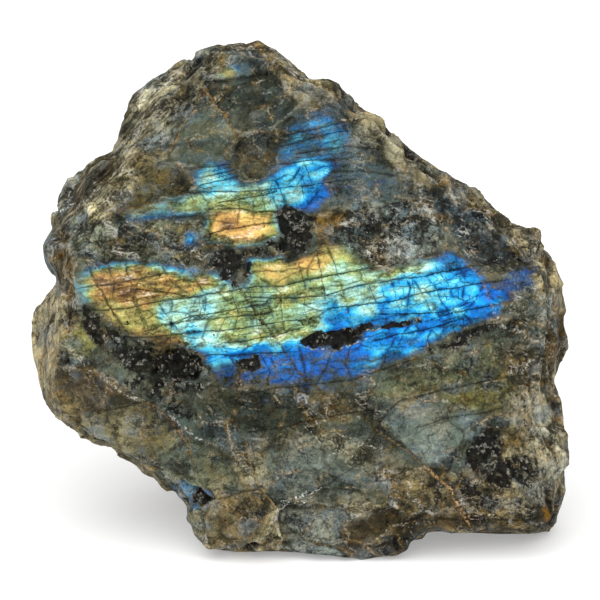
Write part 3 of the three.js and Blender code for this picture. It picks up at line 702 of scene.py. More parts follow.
class StoneSettings(bpy.types.PropertyGroup):
    """Sizes and colours of the broken stone."""

    front_edge: bpy.props.FloatProperty(
        name="Front edge", description="Longest mesh edge on the front of the stone",
        default=0.55 * MM, min=0.3 * MM, unit="LENGTH")
    back_edge: bpy.props.FloatProperty(
        name="Back edge", description="Longest mesh edge on the sides and the back",
        default=1.15 * MM, min=0.3 * MM, unit="LENGTH")
    facet_height: bpy.props.FloatProperty(
        name="Facet height", description="How far broken facets stand in and out on the sides",
        default=0.55 * MM, min=0, max=2 * MM, unit="LENGTH")
    grain_height: bpy.props.FloatProperty(
        name="Grain height", description="Height of the crumbly grain on the broken sides",
        default=0.2 * MM, min=0, max=1 * MM, unit="LENGTH")
    layer_height: bpy.props.FloatProperty(
        name="Layer height", description="Height of the layers that end on the upper left shoulder",
        default=0.55 * MM, min=0, max=2 * MM, unit="LENGTH")
    # The pale colour is partly the stone's own and partly painted light: it goes on the ridges of the relief,
    # on painted sheens over the panes and on painted glints along block edges.
    pale: bpy.props.FloatVectorProperty(
        name="Pale feldspar", description="Colour of the palest broken edges",
        default=linear("#a29a84"), size=3, min=0, max=1, subtype="COLOR")
    ground: bpy.props.FloatVectorProperty(
        name="Ground", description="Usual colour of the broken sides",
        default=linear("#67604e"), size=3, min=0, max=1, subtype="COLOR")
    cool: bpy.props.FloatVectorProperty(
        name="Cool feldspar", description="Grey-green colour of fresh cleavage",
        default=linear("#61707a"), size=3, min=0, max=1, subtype="COLOR")
    # The dark colour is the stone's dark mottling and also painted shade: the tint ramp puts it into the
    # hollows of the relief.
    dark: bpy.props.FloatVectorProperty(
        name="Dark", description="Colour of the hollows between broken blocks",
        default=linear("#29261e"), size=3, min=0, max=1, subtype="COLOR")
    stain: bpy.props.FloatVectorProperty(
        name="Stain", description="Rust and ochre stain along seams",
        default=linear("#7c6236"), size=3, min=0, max=1, subtype="COLOR")
    crack: bpy.props.FloatVectorProperty(
        name="Crack", description="Colour of the hairline cracks",
        default=linear("#26261a"), size=3, min=0, max=1, subtype="COLOR")
    # This colour paints the bright crumbs and also painted glints on cleavage steps.
    fleck: bpy.props.FloatVectorProperty(
        name="Fleck", description="Colour of the bright crumbs and glints",
        default=linear("#d6d3c6"), size=3, min=0, max=1, subtype="COLOR")
    mica: bpy.props.FloatVectorProperty(
        name="Mica", description="Colour of the dark mica grains",
        default=linear("#0b0a08"), size=3, min=0, max=1, subtype="COLOR")


class StageSettings(bpy.types.PropertyGroup):
    """The floor, the lights and the camera."""

    floor_colour: bpy.props.FloatVectorProperty(
        name="Floor", description="Colour of the studio floor",
        default=(0.62, 0.62, 0.62), size=3, min=0, max=1, subtype="COLOR")
    floor_glow: bpy.props.FloatProperty(
        name="Floor glow", description="Strength of the light that comes up through the floor",
        default=0.3, min=0)
    floor_size: bpy.props.FloatProperty(
        name="Floor size", description="Side of the floor", default=8.0, min=1, unit="LENGTH")
    sky_strength: bpy.props.FloatProperty(
        name="Room light", description="Strength of the even light from all around",
        default=0.86, min=0)
    key_strength: bpy.props.FloatProperty(
        name="Key light", description="Strength of the wide soft light from the upper left front",
        default=2.6, min=0)
    key_spread: bpy.props.FloatProperty(
        name="Key spread", description="How wide the soft light looks from the stone",
        default=math.radians(80), min=0, max=math.pi, subtype="ANGLE")


def picture_places(points):
    """Pixels across, pixels down and depth (mm) of points (mm) as the picture shows them."""
    from_middle = points - FACE_MIDDLE
    depth = from_middle @ TO_BACK
    reach = FOCAL_PIXELS / (CAMERA_DISTANCE + depth)
    across = PICTURE / 2 + reach * (from_middle @ TO_RIGHT)
    down = PICTURE / 2 - reach * (from_middle @ TO_UP - PICTURE_RISE)
    return across, down, depth


def noise_field(points, size, seed=0.0):
    """Smooth noise from -1 to 1 at points (mm), with lumps about `size` mm across."""
    places = (points / size + seed * np.array((13.7, 7.3, 5.1))).tolist()
    return np.array([noise.noise(p) for p in places])


def rough_field(points, size, seed=0.0, octaves=4):
    """Noise of several sizes, the largest about `size` mm across."""
    places = (points / size + seed * np.array((11.3, 3.9, 8.7))).tolist()
    return np.array([noise.fractal(p, 0.9, 2.1, octaves) for p in places])


def facet_field(points, size, seed=0.0, lean=1.4):
    """Heights of flat leaning facets about `size` mm across, most of them between -1 and 1."""
    heights = np.empty(len(points))
    for i, place in enumerate((points / size + seed * np.array((5.3, 9.1, 2.9))).tolist()):
        middle = noise.voronoi(place)[1][0]
        slope = noise.cell_vector(middle * 37.3) - Vector((0.5, 0.5, 0.5))
        heights[i] = noise.cell(middle * 53.7) - 0.5 + lean * slope.dot(Vector(place) - middle)
    return heights


def dome_field(points, size, seed=0.0):
    """Rounded crumbs about `size` mm across, from 0 in the gaps to 1 on top."""
    places = (points / size + seed * 17.3).tolist()
    nearest = np.array([noise.voronoi(p)[0][0] for p in places])
    return np.clip(1 - nearest * nearest * 1.6, 0, 1)


def outline_distance(across, down, outline):
    """Pixels from each place to an outline, below 0 inside it."""
    away = np.full(len(across), np.inf)
    inside = np.zeros(len(across), bool)
    for (ax, ay), (bx, by) in zip(outline, outline[1:] + outline[:1]):
        away = np.minimum(away, np.abs(line_distance(across, down, (ax, ay), (bx, by))))
        crosses = (ay > down) != (by > down)
        where = (bx - ax) * (down - ay) / (by - ay if by != ay else 1) + ax
        inside ^= crosses & (across < where)
    return np.where(inside, -away, away)


def line_distance(across, down, start, end):
    """Pixels from each place to a straight piece of line, below 0 on its left."""
    run, drop = end[0] - start[0], end[1] - start[1]
    off_across, off_down = across - start[0], down - start[1]
    share = np.clip((off_across * run + off_down * drop) / (run * run + drop * drop), 0, 1)
    away = np.hypot(off_across - share * run, off_down - share * drop)
    return np.where(run * off_down - drop * off_across < 0, -away, away)


class Surface:
    """The stone's points before they are carved, and how the picture sees them."""

    def __init__(self, mesh):
        places, normals = np.zeros(len(mesh.vertices) * 3), np.zeros(len(mesh.vertices) * 3)
        mesh.vertices.foreach_get("co", places)
        mesh.vertices.foreach_get("normal", normals)
        ends = np.zeros(len(mesh.edges) * 2, int)
        mesh.edges.foreach_get("vertices", ends)
        self.ends = ends.reshape(-1, 2)
        self.points = places.reshape(-1, 3) / MM
        self.normals = normals.reshape(-1, 3)
        across, down, depth = picture_places(self.points)
        facing = -self.normals @ TO_BACK
        self.front = smoothstep(0.08, 0.35, facing)
        self.flank = smoothstep(0.85, 0.45, facing)
        self.back = smoothstep(-0.1, -0.6, facing)
        self.pane = smoothstep(0.86, 0.97, facing) * smoothstep(-8, -14, depth)
        self.off_seat = smoothstep(0.3, 3.5, self.points[:, 2])
        coarse = [noise_field(self.points, 4.2, 20 + i) for i in range(2)]
        fine = [noise_field(self.points, 1.5, 30 + i) for i in range(2)]
        self.across = across + coarse[0] * 4 + fine[0] * 3.5
        self.down = down + coarse[1] * 4 + fine[1] * 3.5
        self.line_across, self.line_down = across + coarse[0] * 1.5, down + coarse[1] * 1.5
        self.layered, self.fibrous = self.zone(LAYERED, LAYERED_SOFT), self.zone(FIBROUS, FIBROUS_SOFT)

    def from_outline(self, outline):
        """Pixels from an outline on the front, below 0 inside it, with the outline wavering a little."""
        return outline_distance(self.across, self.down, outline)

    def cover(self, outline, soft):
        """1 inside an outline on the front, 0 outside, with an edge about `soft` pixels wide."""
        return self.front * smoothstep(soft / 2, -soft / 2, self.from_outline(outline))

    def zone(self, outlines, soft):
        """1 inside any of some outlines on the front, 0 outside."""
        return np.max([self.cover(outline, soft) for outline in outlines], axis=0)

    def beside(self, points):
        """Distance in mm from a line through picture points, below 0 on its left."""
        nearest = np.full(len(self.points), LINE_REACH)
        for start, end in zip(points, points[1:]):
            away = line_distance(self.line_across, self.line_down, start, end) * PICTURE_SCALE
            nearest = np.where(np.abs(away) < np.abs(nearest), away, nearest)
        return np.where(self.front > SEEN, nearest, LINE_REACH)

    def beside_any(self, lines):
        """Distance in mm from the nearest of several lines, below 0 on its left."""
        nearest = np.full(len(self.points), LINE_REACH)
        for line in lines:
            side = self.beside(line)
            nearest = np.where(np.abs(side) < np.abs(nearest), side, nearest)
        return nearest

    def averaged(self, values, rounds):
        """Values evened out over each point's neighbours, a number of times."""
        count = np.bincount(self.ends.ravel(), minlength=len(values))
        for _ in range(rounds):
            total = np.bincount(self.ends[:, 0], values[self.ends[:, 1]], len(values))
            total += np.bincount(self.ends[:, 1], values[self.ends[:, 0]], len(values))
            values = total / count
        return values


def grit_field(stone):
    """How crumbly the surface is, from 0 on fresh cleavage to 1."""
    grit = 0.55 - 0.3 * stone.back + 0.3 * noise_field(stone.points, 8, 44)
    for patch in PATCHES:
        grit += (patch.flecks - grit) * patch.share * stone.cover(patch.outline, patch.soft)
    return grit


def broken_relief(stone, settings, grit):
    """Heights in mm of the facets, crumbs and layers of the broken sides, and of the calmer panes."""
    points = stone.points
    broken = np.maximum(smoothstep(0.05, 0.6, grit), stone.back)
    rough = (1 - stone.pane) * broken * (1 - 0.85 * stone.layered)
    blocks, chips = facet_field(points, 7.5, 1), facet_field(points, 3.4, 2)
    facets = 0.75 * blocks + 0.5 * chips + 0.14 * facet_field(points, 1.5, 3)
    facets += stone.back * (1.1 * facet_field(points, 15, 12) - 0.45 * blocks - 0.36 * chips)
    crumbs = 0.6 * rough_field(points, 2.2, 4) + 0.2 * dome_field(points, 2.2, 5) - 0.1
    layers = (points @ LAYER_SLOPE + 1.4 * noise_field(points, 6, 6)) / LAYER_THICKNESS
    height = rough * settings.facet_height / MM * 2.0 * stone.averaged(facets, 1)
    height += rough * settings.grain_height / MM * crumbs
    height += stone.layered * settings.layer_height / MM * (layers % 1 - 0.5)
    height += stone.pane * (0.1 * rough_field(points, 5, 7) + 0.12 * facet_field(points, 7, 8, 0.5))
    return height


def marked_relief(stone):
    """Heights in mm of the panes, mica pockets, veins and cracks that have a place of their own."""
    grains = 0.7 * (dome_field(stone.points, 1.2, 9) - 0.5)
    height = np.zeros(len(stone.points))
    for step in STEPS:
        height += step.height * stone.cover(step.outline, step.soft)
    for pocket in POCKETS:
        height += stone.cover(pocket.outline, pocket.soft) * (grains - pocket.depth * pocket.share)
    for vein in VEINS:
        away = np.abs(stone.beside(vein.points))
        height -= vein.groove * smoothstep(vein.half_width + VEIN_BANK, 0, away)
    for crack in LONG_CRACKS + STEEP_CRACKS:
        height -= CRACK_DEPTH * smoothstep(CRACK_REACH, 0, np.abs(stone.beside(crack)))
    return height


def carve(mesh, stone, settings, grit):
    """Moves the stone's points along their normals to give it its relief; gives the heights in mm."""
    height = broken_relief(stone, settings, grit) + marked_relief(stone)
    height = (height + FLANK_SWELL * stone.flank) * stone.off_seat
    moved = stone.points + stone.normals * height[:, None]
    moved = np.clip(moved, np.array(CAD_LOW) / MM, np.array(CAD_HIGH) / MM)
    mesh.vertices.foreach_set("co", (moved * MM).ravel())
    mesh.update()
    return height


def blend(a, b, share):
    """Colours from a to b by a share at each point."""
    share = np.asarray(share)[:, None]
    return np.asarray(a) * (1 - share) + np.asarray(b) * share


def stone_tint(stone, settings, standing):
    """The stone's colour at each point without its flashes, with painted light on the ridges of its relief and
    painted shade in its hollows.
    """
    points, calm = stone.points, 1 - 0.65 * stone.back
    # Painted light and shade: the tone, and so the tint, is paler where a point stands above its surroundings
    # and darker in the hollows.
    tone = 0.5 + 0.4 * rough_field(points, 9, 41, 3) + 0.3 * standing
    tint = blend(settings.dark, settings.ground, smoothstep(0.0, 0.45, tone))
    tint = blend(tint, settings.pale, smoothstep(0.5, 1.0, tone))
    tint = blend(tint, settings.cool, 0.7 * calm * smoothstep(-0.05, 0.35, rough_field(points, 13, 42, 3)))
    tint = blend(tint, settings.stain, 0.6 * calm * smoothstep(0.2, 0.5, rough_field(points, 7, 43, 3)))
    tint = blend(tint, settings.ground, 0.45 * stone.back)
    for patch in PATCHES:
        share = patch.share * stone.cover(patch.outline, patch.soft * PATCH_SPREAD)
        tint = blend(tint, linear(patch.colour), share)
    # More painted light and shade from the same heights: ridges brightened, hollows darkened.
    shade = np.clip(1 + (0.55 - 0.35 * stone.layered - 0.2 * stone.back) * standing, 0.25, 1.8)
    return tint * shade[:, None] * TINT_GAIN


def border_side(stone):
    """Distance in mm from the nearest patch's outline, below 0 inside it."""
    nearest = np.full(len(stone.points), LINE_REACH)
    for patch in PATCHES:
        side = stone.from_outline(patch.outline) * PICTURE_SCALE
        nearest = np.where((np.abs(side) < np.abs(nearest)) & (stone.front > SEEN), side, nearest)
    return nearest


def flash_fields(stone):
    """The flashes' place on the ramp of hues and their strength at each point."""
    count, trace = len(stone.points), 1e-3
    hue, painted, strength = np.full(count, trace * BLUE), np.full(count, trace), np.zeros(count)
    for flash in FLASHES:
        share = smoothstep(HUE_OUTSIDE, HUE_INSIDE, stone.from_outline(flash.outline))
        hue = hue * (1 - share) + flash.hue * share
        painted = painted * (1 - share) + share
    for zone in FLASHES + GLOWS:
        strength = np.maximum(strength, zone.strength * stone.cover(zone.outline, zone.soft * FLASH_SPREAD))
    return hue / painted, stone.averaged(strength, FLASH_EVENING)


def vein_fields(stone):
    """The nearest vein's side in half widths, tint, share and crumbliness at each point."""
    count = len(stone.points)
    nearest, tint = np.full(count, LINE_REACH), np.zeros((count, 3))
    share, crumbs = np.zeros(count), np.zeros(count)
    for vein in VEINS:
        colour = linear(vein.colour)
        side = stone.beside(vein.points) / vein.half_width
        nearer = np.abs(side) < np.abs(nearest)
        nearest[nearer] = side[nearer]
        tint[nearer] = colour
        share[nearer] = vein.share
        crumbs[nearer] = smoothstep(0.15, 0.4, colour[2])
    return nearest, tint, share, crumbs


def paint(mesh, stone, settings, grit, height):
    """Stores the stone's tints (with painted light on its ridges and painted shade in its hollows), flashes,
    lines, mica and grit as attributes of its points.
    """
    standing = np.clip((height - stone.averaged(height, 10)) / STANDING, -1.2, 1.2)
    hue, strength = flash_fields(stone)
    mica = 0.4 * smoothstep(0.36, 0.55, rough_field(stone.points, 8, 45, 3)) * (1 - stone.front)
    for pocket in POCKETS:
        share = pocket.share * stone.cover(pocket.outline, pocket.soft * POCKET_SPREAD)
        mica = np.maximum(mica, share)
        strength = strength * (1 - share)
    vein_side, vein_tint, vein_share, vein_crumbs = vein_fields(stone)
    for name, values in {
        "tint": stone_tint(stone, settings, standing),
        "vein_tint": vein_tint,
        "flash_hue": hue,
        "flash_strength": strength,
        "mica": mica,
        "grit": grit,
        "pane": stone.pane,
        "layered": stone.layered,
        "fibrous": stone.fibrous,
        "vein_side": vein_side,
        "vein_share": vein_share,
        "vein_crumbs": vein_crumbs,
        "border_side": border_side(stone),
        "long_side": stone.beside_any(LONG_CRACKS),
        "steep_side": stone.beside_any(STEEP_CRACKS),
    }.items():
        store(mesh, name, values)


def store(mesh, name, values):
    """Keeps one number or colour for each point of a mesh under a name."""
    if values.ndim == 1:
        mesh.attributes.new(name, "FLOAT", "POINT").data.foreach_set("value", values.astype(np.float32))
        return
    colours = np.ones((len(values), 4), np.float32)
    colours[:, :3] = np.clip(values, 0, 1)
    mesh.attributes.new(name, "FLOAT_COLOR", "POINT").data.foreach_set("color", colours.ravel())


class Thread:
    """One output of a material's nodes. Sums and products of threads and numbers add Math nodes."""

    def __init__(self, socket):
        self.socket = socket

    def node(self, kind, settings=None, sockets=None, output=0):
        """Adds a node of a kind, sets it up, fills its sockets and gives one of its outputs."""
        tree = self.socket.id_data
        made = tree.nodes.new(kind)
        for name, value in (settings or {}).items():
            setattr(made, name, value)
        for name, value in (sockets or {}).items():
            if isinstance(value, Thread):
                tree.links.new(value.socket, made.inputs[name])
            else:
                made.inputs[name].default_value = value
        return Thread(made.outputs[output])

    def other(self, output):
        """Another output of the same node."""
        return Thread(self.socket.node.outputs[output])

    def math(self, operation, a, b=0.0):
        """One Math node on two threads or numbers."""
        return self.node("ShaderNodeMath", {"operation": operation}, {0: a, 1: b})

    def __add__(self, other):
        return self.math("ADD", self, other)

    __radd__ = __add__

    def __sub__(self, other):
        return self.math("SUBTRACT", self, other)

    def __rsub__(self, other):
        return self.math("SUBTRACT", other, self)

    def __mul__(self, other):
        return self.math("MULTIPLY", self, other)

    __rmul__ = __mul__

    def __abs__(self):
        return self.math("ABSOLUTE", self)

    def most(self, other):
        """The larger of this and another."""
        return self.math("MAXIMUM", self, other)

    def above(self, low, high):
        """0 below low and 1 above high, smooth between; falls instead where low is above high."""
        ends = (0.0, 1.0) if low < high else (1.0, 0.0)
        return self.node(
            "ShaderNodeMapRange", {"interpolation_type": "SMOOTHSTEP"},
            {0: self, 1: min(low, high), 2: max(low, high), 3: ends[0], 4: ends[1]})

    def toward(self, colour, share):
        """This colour mixed by a share with another: a thread, or red, green and blue."""
        colour = colour if isinstance(colour, Thread) else (*colour, 1)
        return self.node("ShaderNodeMix", {"data_type": "RGBA"}, {0: share, 6: self, 7: colour}, 2)

    def lit(self, factor):
        """This colour made brighter or darker by a factor."""
        return self.node("ShaderNodeVectorMath", {"operation": "SCALE"}, {0: self, "Scale": factor})

    def attribute(self, name, output="Fac"):
        """One of the piece's own attributes."""
        return self.node("ShaderNodeAttribute", {"attribute_name": name}, {}, output)

    def laid(self, size, stretch=(1, 1, 1), turn=(0, 0, 0)):
        """These coordinates turned and measured in lengths of `size` mm times `stretch`."""
        sockets = {"Vector": self, "Rotation": turn, "Scale": [size * MM * s for s in stretch]}
        return self.node("ShaderNodeMapping", {"vector_type": "TEXTURE"}, sockets)

    def noise(self, size, detail=3.0, roughness=0.6, stretch=(1, 1, 1), turn=(0, 0, 0)):
        """Noise about `size` mm across on these coordinates, around 0.5."""
        places = self.laid(size, stretch, turn)
        sockets = {"Vector": places, "Scale": 1.0, "Detail": detail, "Roughness": roughness}
        return self.node("ShaderNodeTexNoise", {}, sockets)

    def middles(self, size, stretch=(1, 1, 1), turn=(0, 0, 0), feature="F1"):
        """How far each place is from the middle of its cell, of about `size` mm times `stretch`."""
        sockets = {"Vector": self.laid(size, stretch, turn), "Scale": 1.0, "Randomness": 1.0}
        return self.node("ShaderNodeTexVoronoi", {"feature": feature}, sockets)

    def edges(self, size, stretch=(1, 1, 1), turn=(0, 0, 0)):
        """How far inside its cell each place is, from 0 on the cell's border."""
        return self.middles(size, stretch, turn, "DISTANCE_TO_EDGE")

    def cells(self, size, stretch=(1, 1, 1), turn=(0, 0, 0)):
        """A random number around 0 for each cell, from -0.5 to 0.5."""
        colour = self.middles(size, stretch, turn).other("Color")
        return colour.node("ShaderNodeSeparateColor", {}, {0: colour}) - 0.5

    def facets(self, size, stretch=(1, 1, 1), turn=(0, 0, 0)):
        """Brightness around 0 of flat facets of `size` mm times `stretch`, each lit towards one side."""
        places = self.laid(size, stretch, turn)
        lean = places.node("ShaderNodeTexVoronoi", {}, {"Vector": places, "Scale": 1.0}, "Color")
        minus = {"operation": "SUBTRACT"}
        away = places.node("ShaderNodeVectorMath", minus, {0: places, 1: lean.other("Position")})
        lean = lean.node("ShaderNodeVectorMath", minus, {0: lean, 1: (0.5, 0.5, 0.5)})
        return away.node("ShaderNodeVectorMath", {"operation": "DOT_PRODUCT"}, {0: away, 1: lean}, "Value")


class Grain:
    """The noise, cells and attributes of the stone that the layers of its colour share."""

    def __init__(self, place):
        self.place = place
        self.grit, self.pane, self.layered = (place.attribute(name) for name in ("grit", "pane", "layered"))
        self.fine, self.middling, self.broad = place.noise(0.45), place.noise(1.4), place.noise(5.0)
        self.patchy, self.region = place.noise(2.6, 4, 0.65), place.noise(4.5, 3)
        self.streaks = place.noise(0.9, 4, 0.65, (4, 1, 1), LONG_TURN)
        drift = place.node("ShaderNodeTexNoise", {}, {"Vector": place.laid(3.0), "Scale": 1.0}, "Color")
        self.warped = place.node(
            "ShaderNodeVectorMath", {"operation": "MULTIPLY_ADD"}, {0: drift, 1: [1.6 * MM] * 3, 2: place})
        block = (4.6, (1.7, 1, 1), LONG_TURN)
        self.blocks, self.block_edge = self.warped.cells(*block), self.warped.edges(*block)
        self.chips, self.chip_edge = self.warped.cells(1.6), self.warped.edges(1.6)
        self.contrast = (0.12 + self.grit * 0.9) * (1 - self.layered * 0.6)
        panes = self.warped.facets(9.0, (1.4, 1, 1), LONG_TURN) * 0.9
        smaller = self.warped.facets(3.4) * (0.25 + self.contrast * 0.6)
        self.facets = panes + smaller + self.warped.facets(1.1) * self.contrast * 1.4

    def mixed(self, **factors):
        """A sum around 0 of some of the shared noises, each by a factor."""
        total, *others = [(getattr(self, name) - 0.5) * factor for name, factor in factors.items()]
        for other in others:
            total = total + other
        return total


def body_colour(grain, settings):
    """The stone's tint with its stains and mottling, and the light and shade of its facets and grain."""
    place, layered = grain.place, grain.layered
    body = place.attribute("tint", "Color")
    red = body.node("ShaderNodeSeparateColor", {}, {0: body})
    bright = red.above(0.01, 0.09)
    warm = (red - red.other("Blue")).above(-0.012, 0.03)
    for colour, size, low, high, share in (
        (settings.stain, 3.2, 0.54, 0.68, grain.grit * warm * 0.4),
        (settings.stain, 6.0, 0.48, 0.68, warm * 0.35),
        (settings.cool, 4.4, 0.48, 0.62, 0.08 + bright * 0.32),
        # The pale mix is a painted sheen over the panes.
        (settings.pale, 6.5, 0.52, 0.68, 0.03 + bright * 0.3),
        (settings.dark, 2.2, 0.53, 0.65, grain.contrast * 0.6),
    ):
        body = body.toward(colour, place.noise(size, 4).above(low, high) * share)
    slanted = place.noise(0.75, 4, 0.62, (14, 1, 1), LAYER_TURN) - 0.5
    upright = place.noise(0.8, 4, 0.65, (7, 1, 1), FIBRE_TURN) - 0.5
    specks = place.noise(0.2, 2, 0.7) - 0.5
    shade = (grain.mixed(fine=1.2, middling=1.3, patchy=1.5) + grain.chips * 0.9) * grain.contrast
    shade = shade + grain.facets + grain.blocks * 0.4 + (grain.broad - 0.5) * 2.0 + specks * 2.0
    shade = shade + grain.mixed(fine=1.0, streaks=1.1)
    shade = shade + slanted * layered * 6.0 + upright * place.attribute("fibrous") * 4.0
    body = body.lit((0.84 + shade * (0.66 + grain.grit * 0.95)).most(0.08))
    # Painted glints on the ends of the thin layers.
    body = body.toward(settings.fleck, slanted.above(0.12, 0.24) * layered * 0.45)
    seams = grain.block_edge.above(0.14, 0.0) * grain.region.above(0.45, 0.55) * (1 - layered)
    body = body.toward(settings.stain, seams * grain.middling.above(0.4, 0.6) * 0.34)
    return body.node("ShaderNodeHueSaturation", {}, {"Saturation": SATURATION, "Color": body})


def broken_edges(body, grain, settings):
    """Dark cracks and pale glints along the borders of blocks, chips and patches, and streaky crumbs."""
    place, warped, patchy, region = grain.place, grain.warped, grain.patchy, grain.region
    block_edge, chip_edge, grit = grain.block_edge, grain.chip_edge, grain.grit
    crumbly = grit.above(0.35, 0.85) * (1 - grain.layered)
    glint = grain.fine.above(0.42, 0.6)
    border = abs(place.attribute("border_side") + grain.mixed(fine=0.8, middling=0.8)).above(0.32, 0.05)
    scratches = warped.edges(2.2, (3.5, 1, 1), FALL_TURN).above(0.07, 0.0) * region.above(0.46, 0.58)
    splits = warped.edges(2.4, (3.5, 1, 1), SPLIT_TURN).above(0.07, 0.0) * patchy.above(0.52, 0.44)
    crumbs = place.noise(0.5, 2, 0.6, (3, 1, 1), FALL_TURN).above(0.56, 0.68) * patchy.above(0.49, 0.62)
    for colour, share in (
        (settings.crack, block_edge.above(0.06, 0.0) * region.above(0.52, 0.44) * (0.35 + grit * 0.6)),
        (settings.crack, chip_edge.above(0.09, 0.0) * region.above(0.5, 0.4) * grain.contrast * 0.7),
        (settings.pale, block_edge.above(0.045, 0.0) * region.above(0.52, 0.6) * glint * 0.7),
        (settings.fleck, chip_edge.above(0.055, 0.0) * patchy.above(0.5, 0.6) * crumbly * glint * 0.55),
        (settings.crack, border * patchy.above(0.52, 0.44) * 0.65),
        (settings.fleck, border * patchy.above(0.53, 0.63) * grit * 0.6),
        (settings.pale, scratches * glint * 0.38),
        (settings.crack, splits * 0.55),
        (settings.fleck, crumbs * crumbly * 0.55),
    ):
        body = body.toward(colour, share)
    return body


def crack_lines(grain):
    """Shares of the cracks across the face, of the hairs between them and of the dim bands along them."""
    place, patchy = grain.place, grain.patchy
    wobble = grain.mixed(fine=0.35, middling=0.6)
    long_crack, steep_crack = (
        abs(place.attribute(name) + wobble) - (patchy - 0.5) * 0.5 for name in ("long_side", "steep_side"))
    cracks = long_crack.above(0.23, 0.03).most(steep_crack.above(0.14, 0.0) * 0.85)
    hairs = grain.warped.edges(3.0, (2.4, 1, 1), LONG_TURN).above(0.07, 0.0)
    hairs = hairs * place.noise(3.5).above(0.4, 0.55)
    halo = long_crack.above(0.9, 0.0).most(steep_crack.above(0.7, 0.0)) * patchy.above(0.42, 0.6)
    return cracks, hairs, halo


def flash_share(grain, hue, strength, halo):
    """How much of a flash shows: ragged at its edges, and broken up where it is deep blue."""
    deep = hue.above(0.78, 0.88)
    ragged = grain.mixed(patchy=1.2, streaks=0.8, middling=0.6)
    share = strength + ragged * (0.2 + strength + deep * 0.5) - halo * 0.3 - deep * 0.06
    breaks = grain.place.noise(1.7, 4, 0.65, (4, 1, 1), LONG_TURN).above(0.5, 0.66)
    return share.above(0.12, 0.85) * strength.above(0.02, 0.2) * (1 - breaks * (0.2 + deep * 0.65))


def flash_colour(grain, hue, strength, halo):
    """A flash's colour: its hue plays around the painted one, and its small panes shimmer."""
    cell = grain.warped.cells(2.6, (3, 1, 1), LONG_TURN)
    core = grain.warped.middles(2.2, (2, 1, 1), LONG_TURN).above(0.75, 0.1) * hue.above(1.0, 0.78)
    play = cell * 0.05 + grain.mixed(streaks=0.22, patchy=0.2)
    hue = hue + play * (0.45 + hue.above(0.1, 0.4) * 0.55) - core * 0.1 + halo * 0.05
    hue = hue + (0.8 - hue) * strength.above(0.8, 0.3) * hue.above(0.25, 0.5) * 0.65
    glow = hue.node("ShaderNodeValToRGB", {}, {"Fac": hue})
    set_stops(glow.socket.node.color_ramp, FLASH_RAMP)
    gold, cold = hue.above(0.3, 0.12) * strength.above(0.78, 0.95), hue.above(0.78, 0.9)
    pale_cyan, cyan = abs(hue - 0.6).above(0.12, 0.04), abs(hue - 0.69).above(0.07, 0.02)
    shimmer = 0.25 + cold * 0.2 + pale_cyan * 0.1 + cyan * 0.16 + gold * 0.72
    shimmer = shimmer + grain.streaks.above(0.3, 0.66) * 0.6 + core * 0.4 + grain.blocks * 0.2 + cell * 0.4
    shimmer = (shimmer + grain.mixed(patchy=1.0, fine=1.5)) * (0.3 + strength.above(0.2, 0.95) * 0.6)
    glint = (grain.streaks + grain.fine * 0.4 + core * 0.15).above(0.82, 1.0) * hue.above(0.74, 0.6)
    return glow.lit(shimmer.most(0.06)).toward(FLASH_GLINT, glint * strength * 0.5)


def set_stops(ramp, stops):
    """Gives a colour ramp its places and hex colours."""
    while len(ramp.elements) < len(stops):
        ramp.elements.new(1.0)
    for element, (place, colour) in zip(ramp.elements, stops):
        element.position = place
        element.color = (*linear(colour), 1.0)


def with_veins(colour, grain):
    """A colour with the veins and pale ridges over it, granular along their length."""
    place, fine = grain.place, grain.fine
    granular = (place.noise(0.6, 2) - place.attribute("vein_crumbs") * 0.08).above(0.37, 0.49)
    away = abs(place.attribute("vein_side") + grain.mixed(fine=4.0, middling=3.0))
    tint = place.attribute("vein_tint", "Color").lit(0.15 + fine.above(0.34, 0.68) * 1.1)
    return colour.toward(tint, away.above(1.3, 0.4) * granular * place.attribute("vein_share"))


def with_mica(colour, body, grain, settings):
    """A colour with black mica grains over it, and a few painted glints among them."""
    place, fine = grain.place, grain.fine
    share = place.attribute("mica") + grain.mixed(patchy=1.7, middling=0.8, fine=0.8) + grain.chips * 0.5
    flakes = grain.warped.cells(0.6) + 0.5
    mica_glints = (flakes * 0.7 + place.noise(1.6, 3) * 0.6).above(0.84, 0.95) * fine.above(0.42, 0.58)
    grains = body.toward(settings.mica, 0.93).lit(0.2 + flakes * 1.5 + fine * 0.4)
    grains = grains.toward(body.toward(settings.fleck, 0.5), mica_glints * 0.45)
    return colour.toward(grains, share.above(0.42, 0.58))


def labradorite_material(settings):
    """Grey-green feldspar with colour flashes, hairline cracks, dark mica and bright crumbs, with painted
    glints, sheens and light and shade on its facets.
    """
    material = bpy.data.materials.new("labradorite")
    material.use_nodes = True
    nodes, links = material.node_tree.nodes, material.node_tree.links
    shader = nodes["Principled BSDF"]
    place = Thread(nodes.new("ShaderNodeTexCoord").outputs["Object"])
    grain = Grain(place)
    cracks, hairs, halo = crack_lines(grain)
    body = broken_edges(body_colour(grain, settings), grain, settings)
    hue, strength = place.attribute("flash_hue"), place.attribute("flash_strength")
    share = flash_share(grain, hue, strength, halo)
    colour = body.toward(flash_colour(grain, hue, strength, halo), share)
    dimmed = (cracks * (0.5 + share * 0.38)).most(halo * (0.2 + share * 0.4)).most(hairs * share * 0.7)
    colour = with_mica(with_veins(colour.lit(1 - dimmed), grain), body, grain, settings)
    rough = 0.6 - grain.pane * 0.2 + grain.mixed(fine=0.4)
    bumps = (grain.fine * 0.7 + grain.middling) * (0.25 + grain.grit) - cracks * 0.6 + grain.facets * 0.8
    normal = place.node(
        "ShaderNodeBump", {}, {"Strength": BUMP_STRENGTH, "Distance": BUMP_DEPTH, "Height": bumps})
    for name, thread in (("Base Color", colour), ("Roughness", rough), ("Normal", normal)):
        links.new(thread.socket, shader.inputs[name])
    shader.inputs["Specular IOR Level"].default_value = STONE_GLOSS
    return material


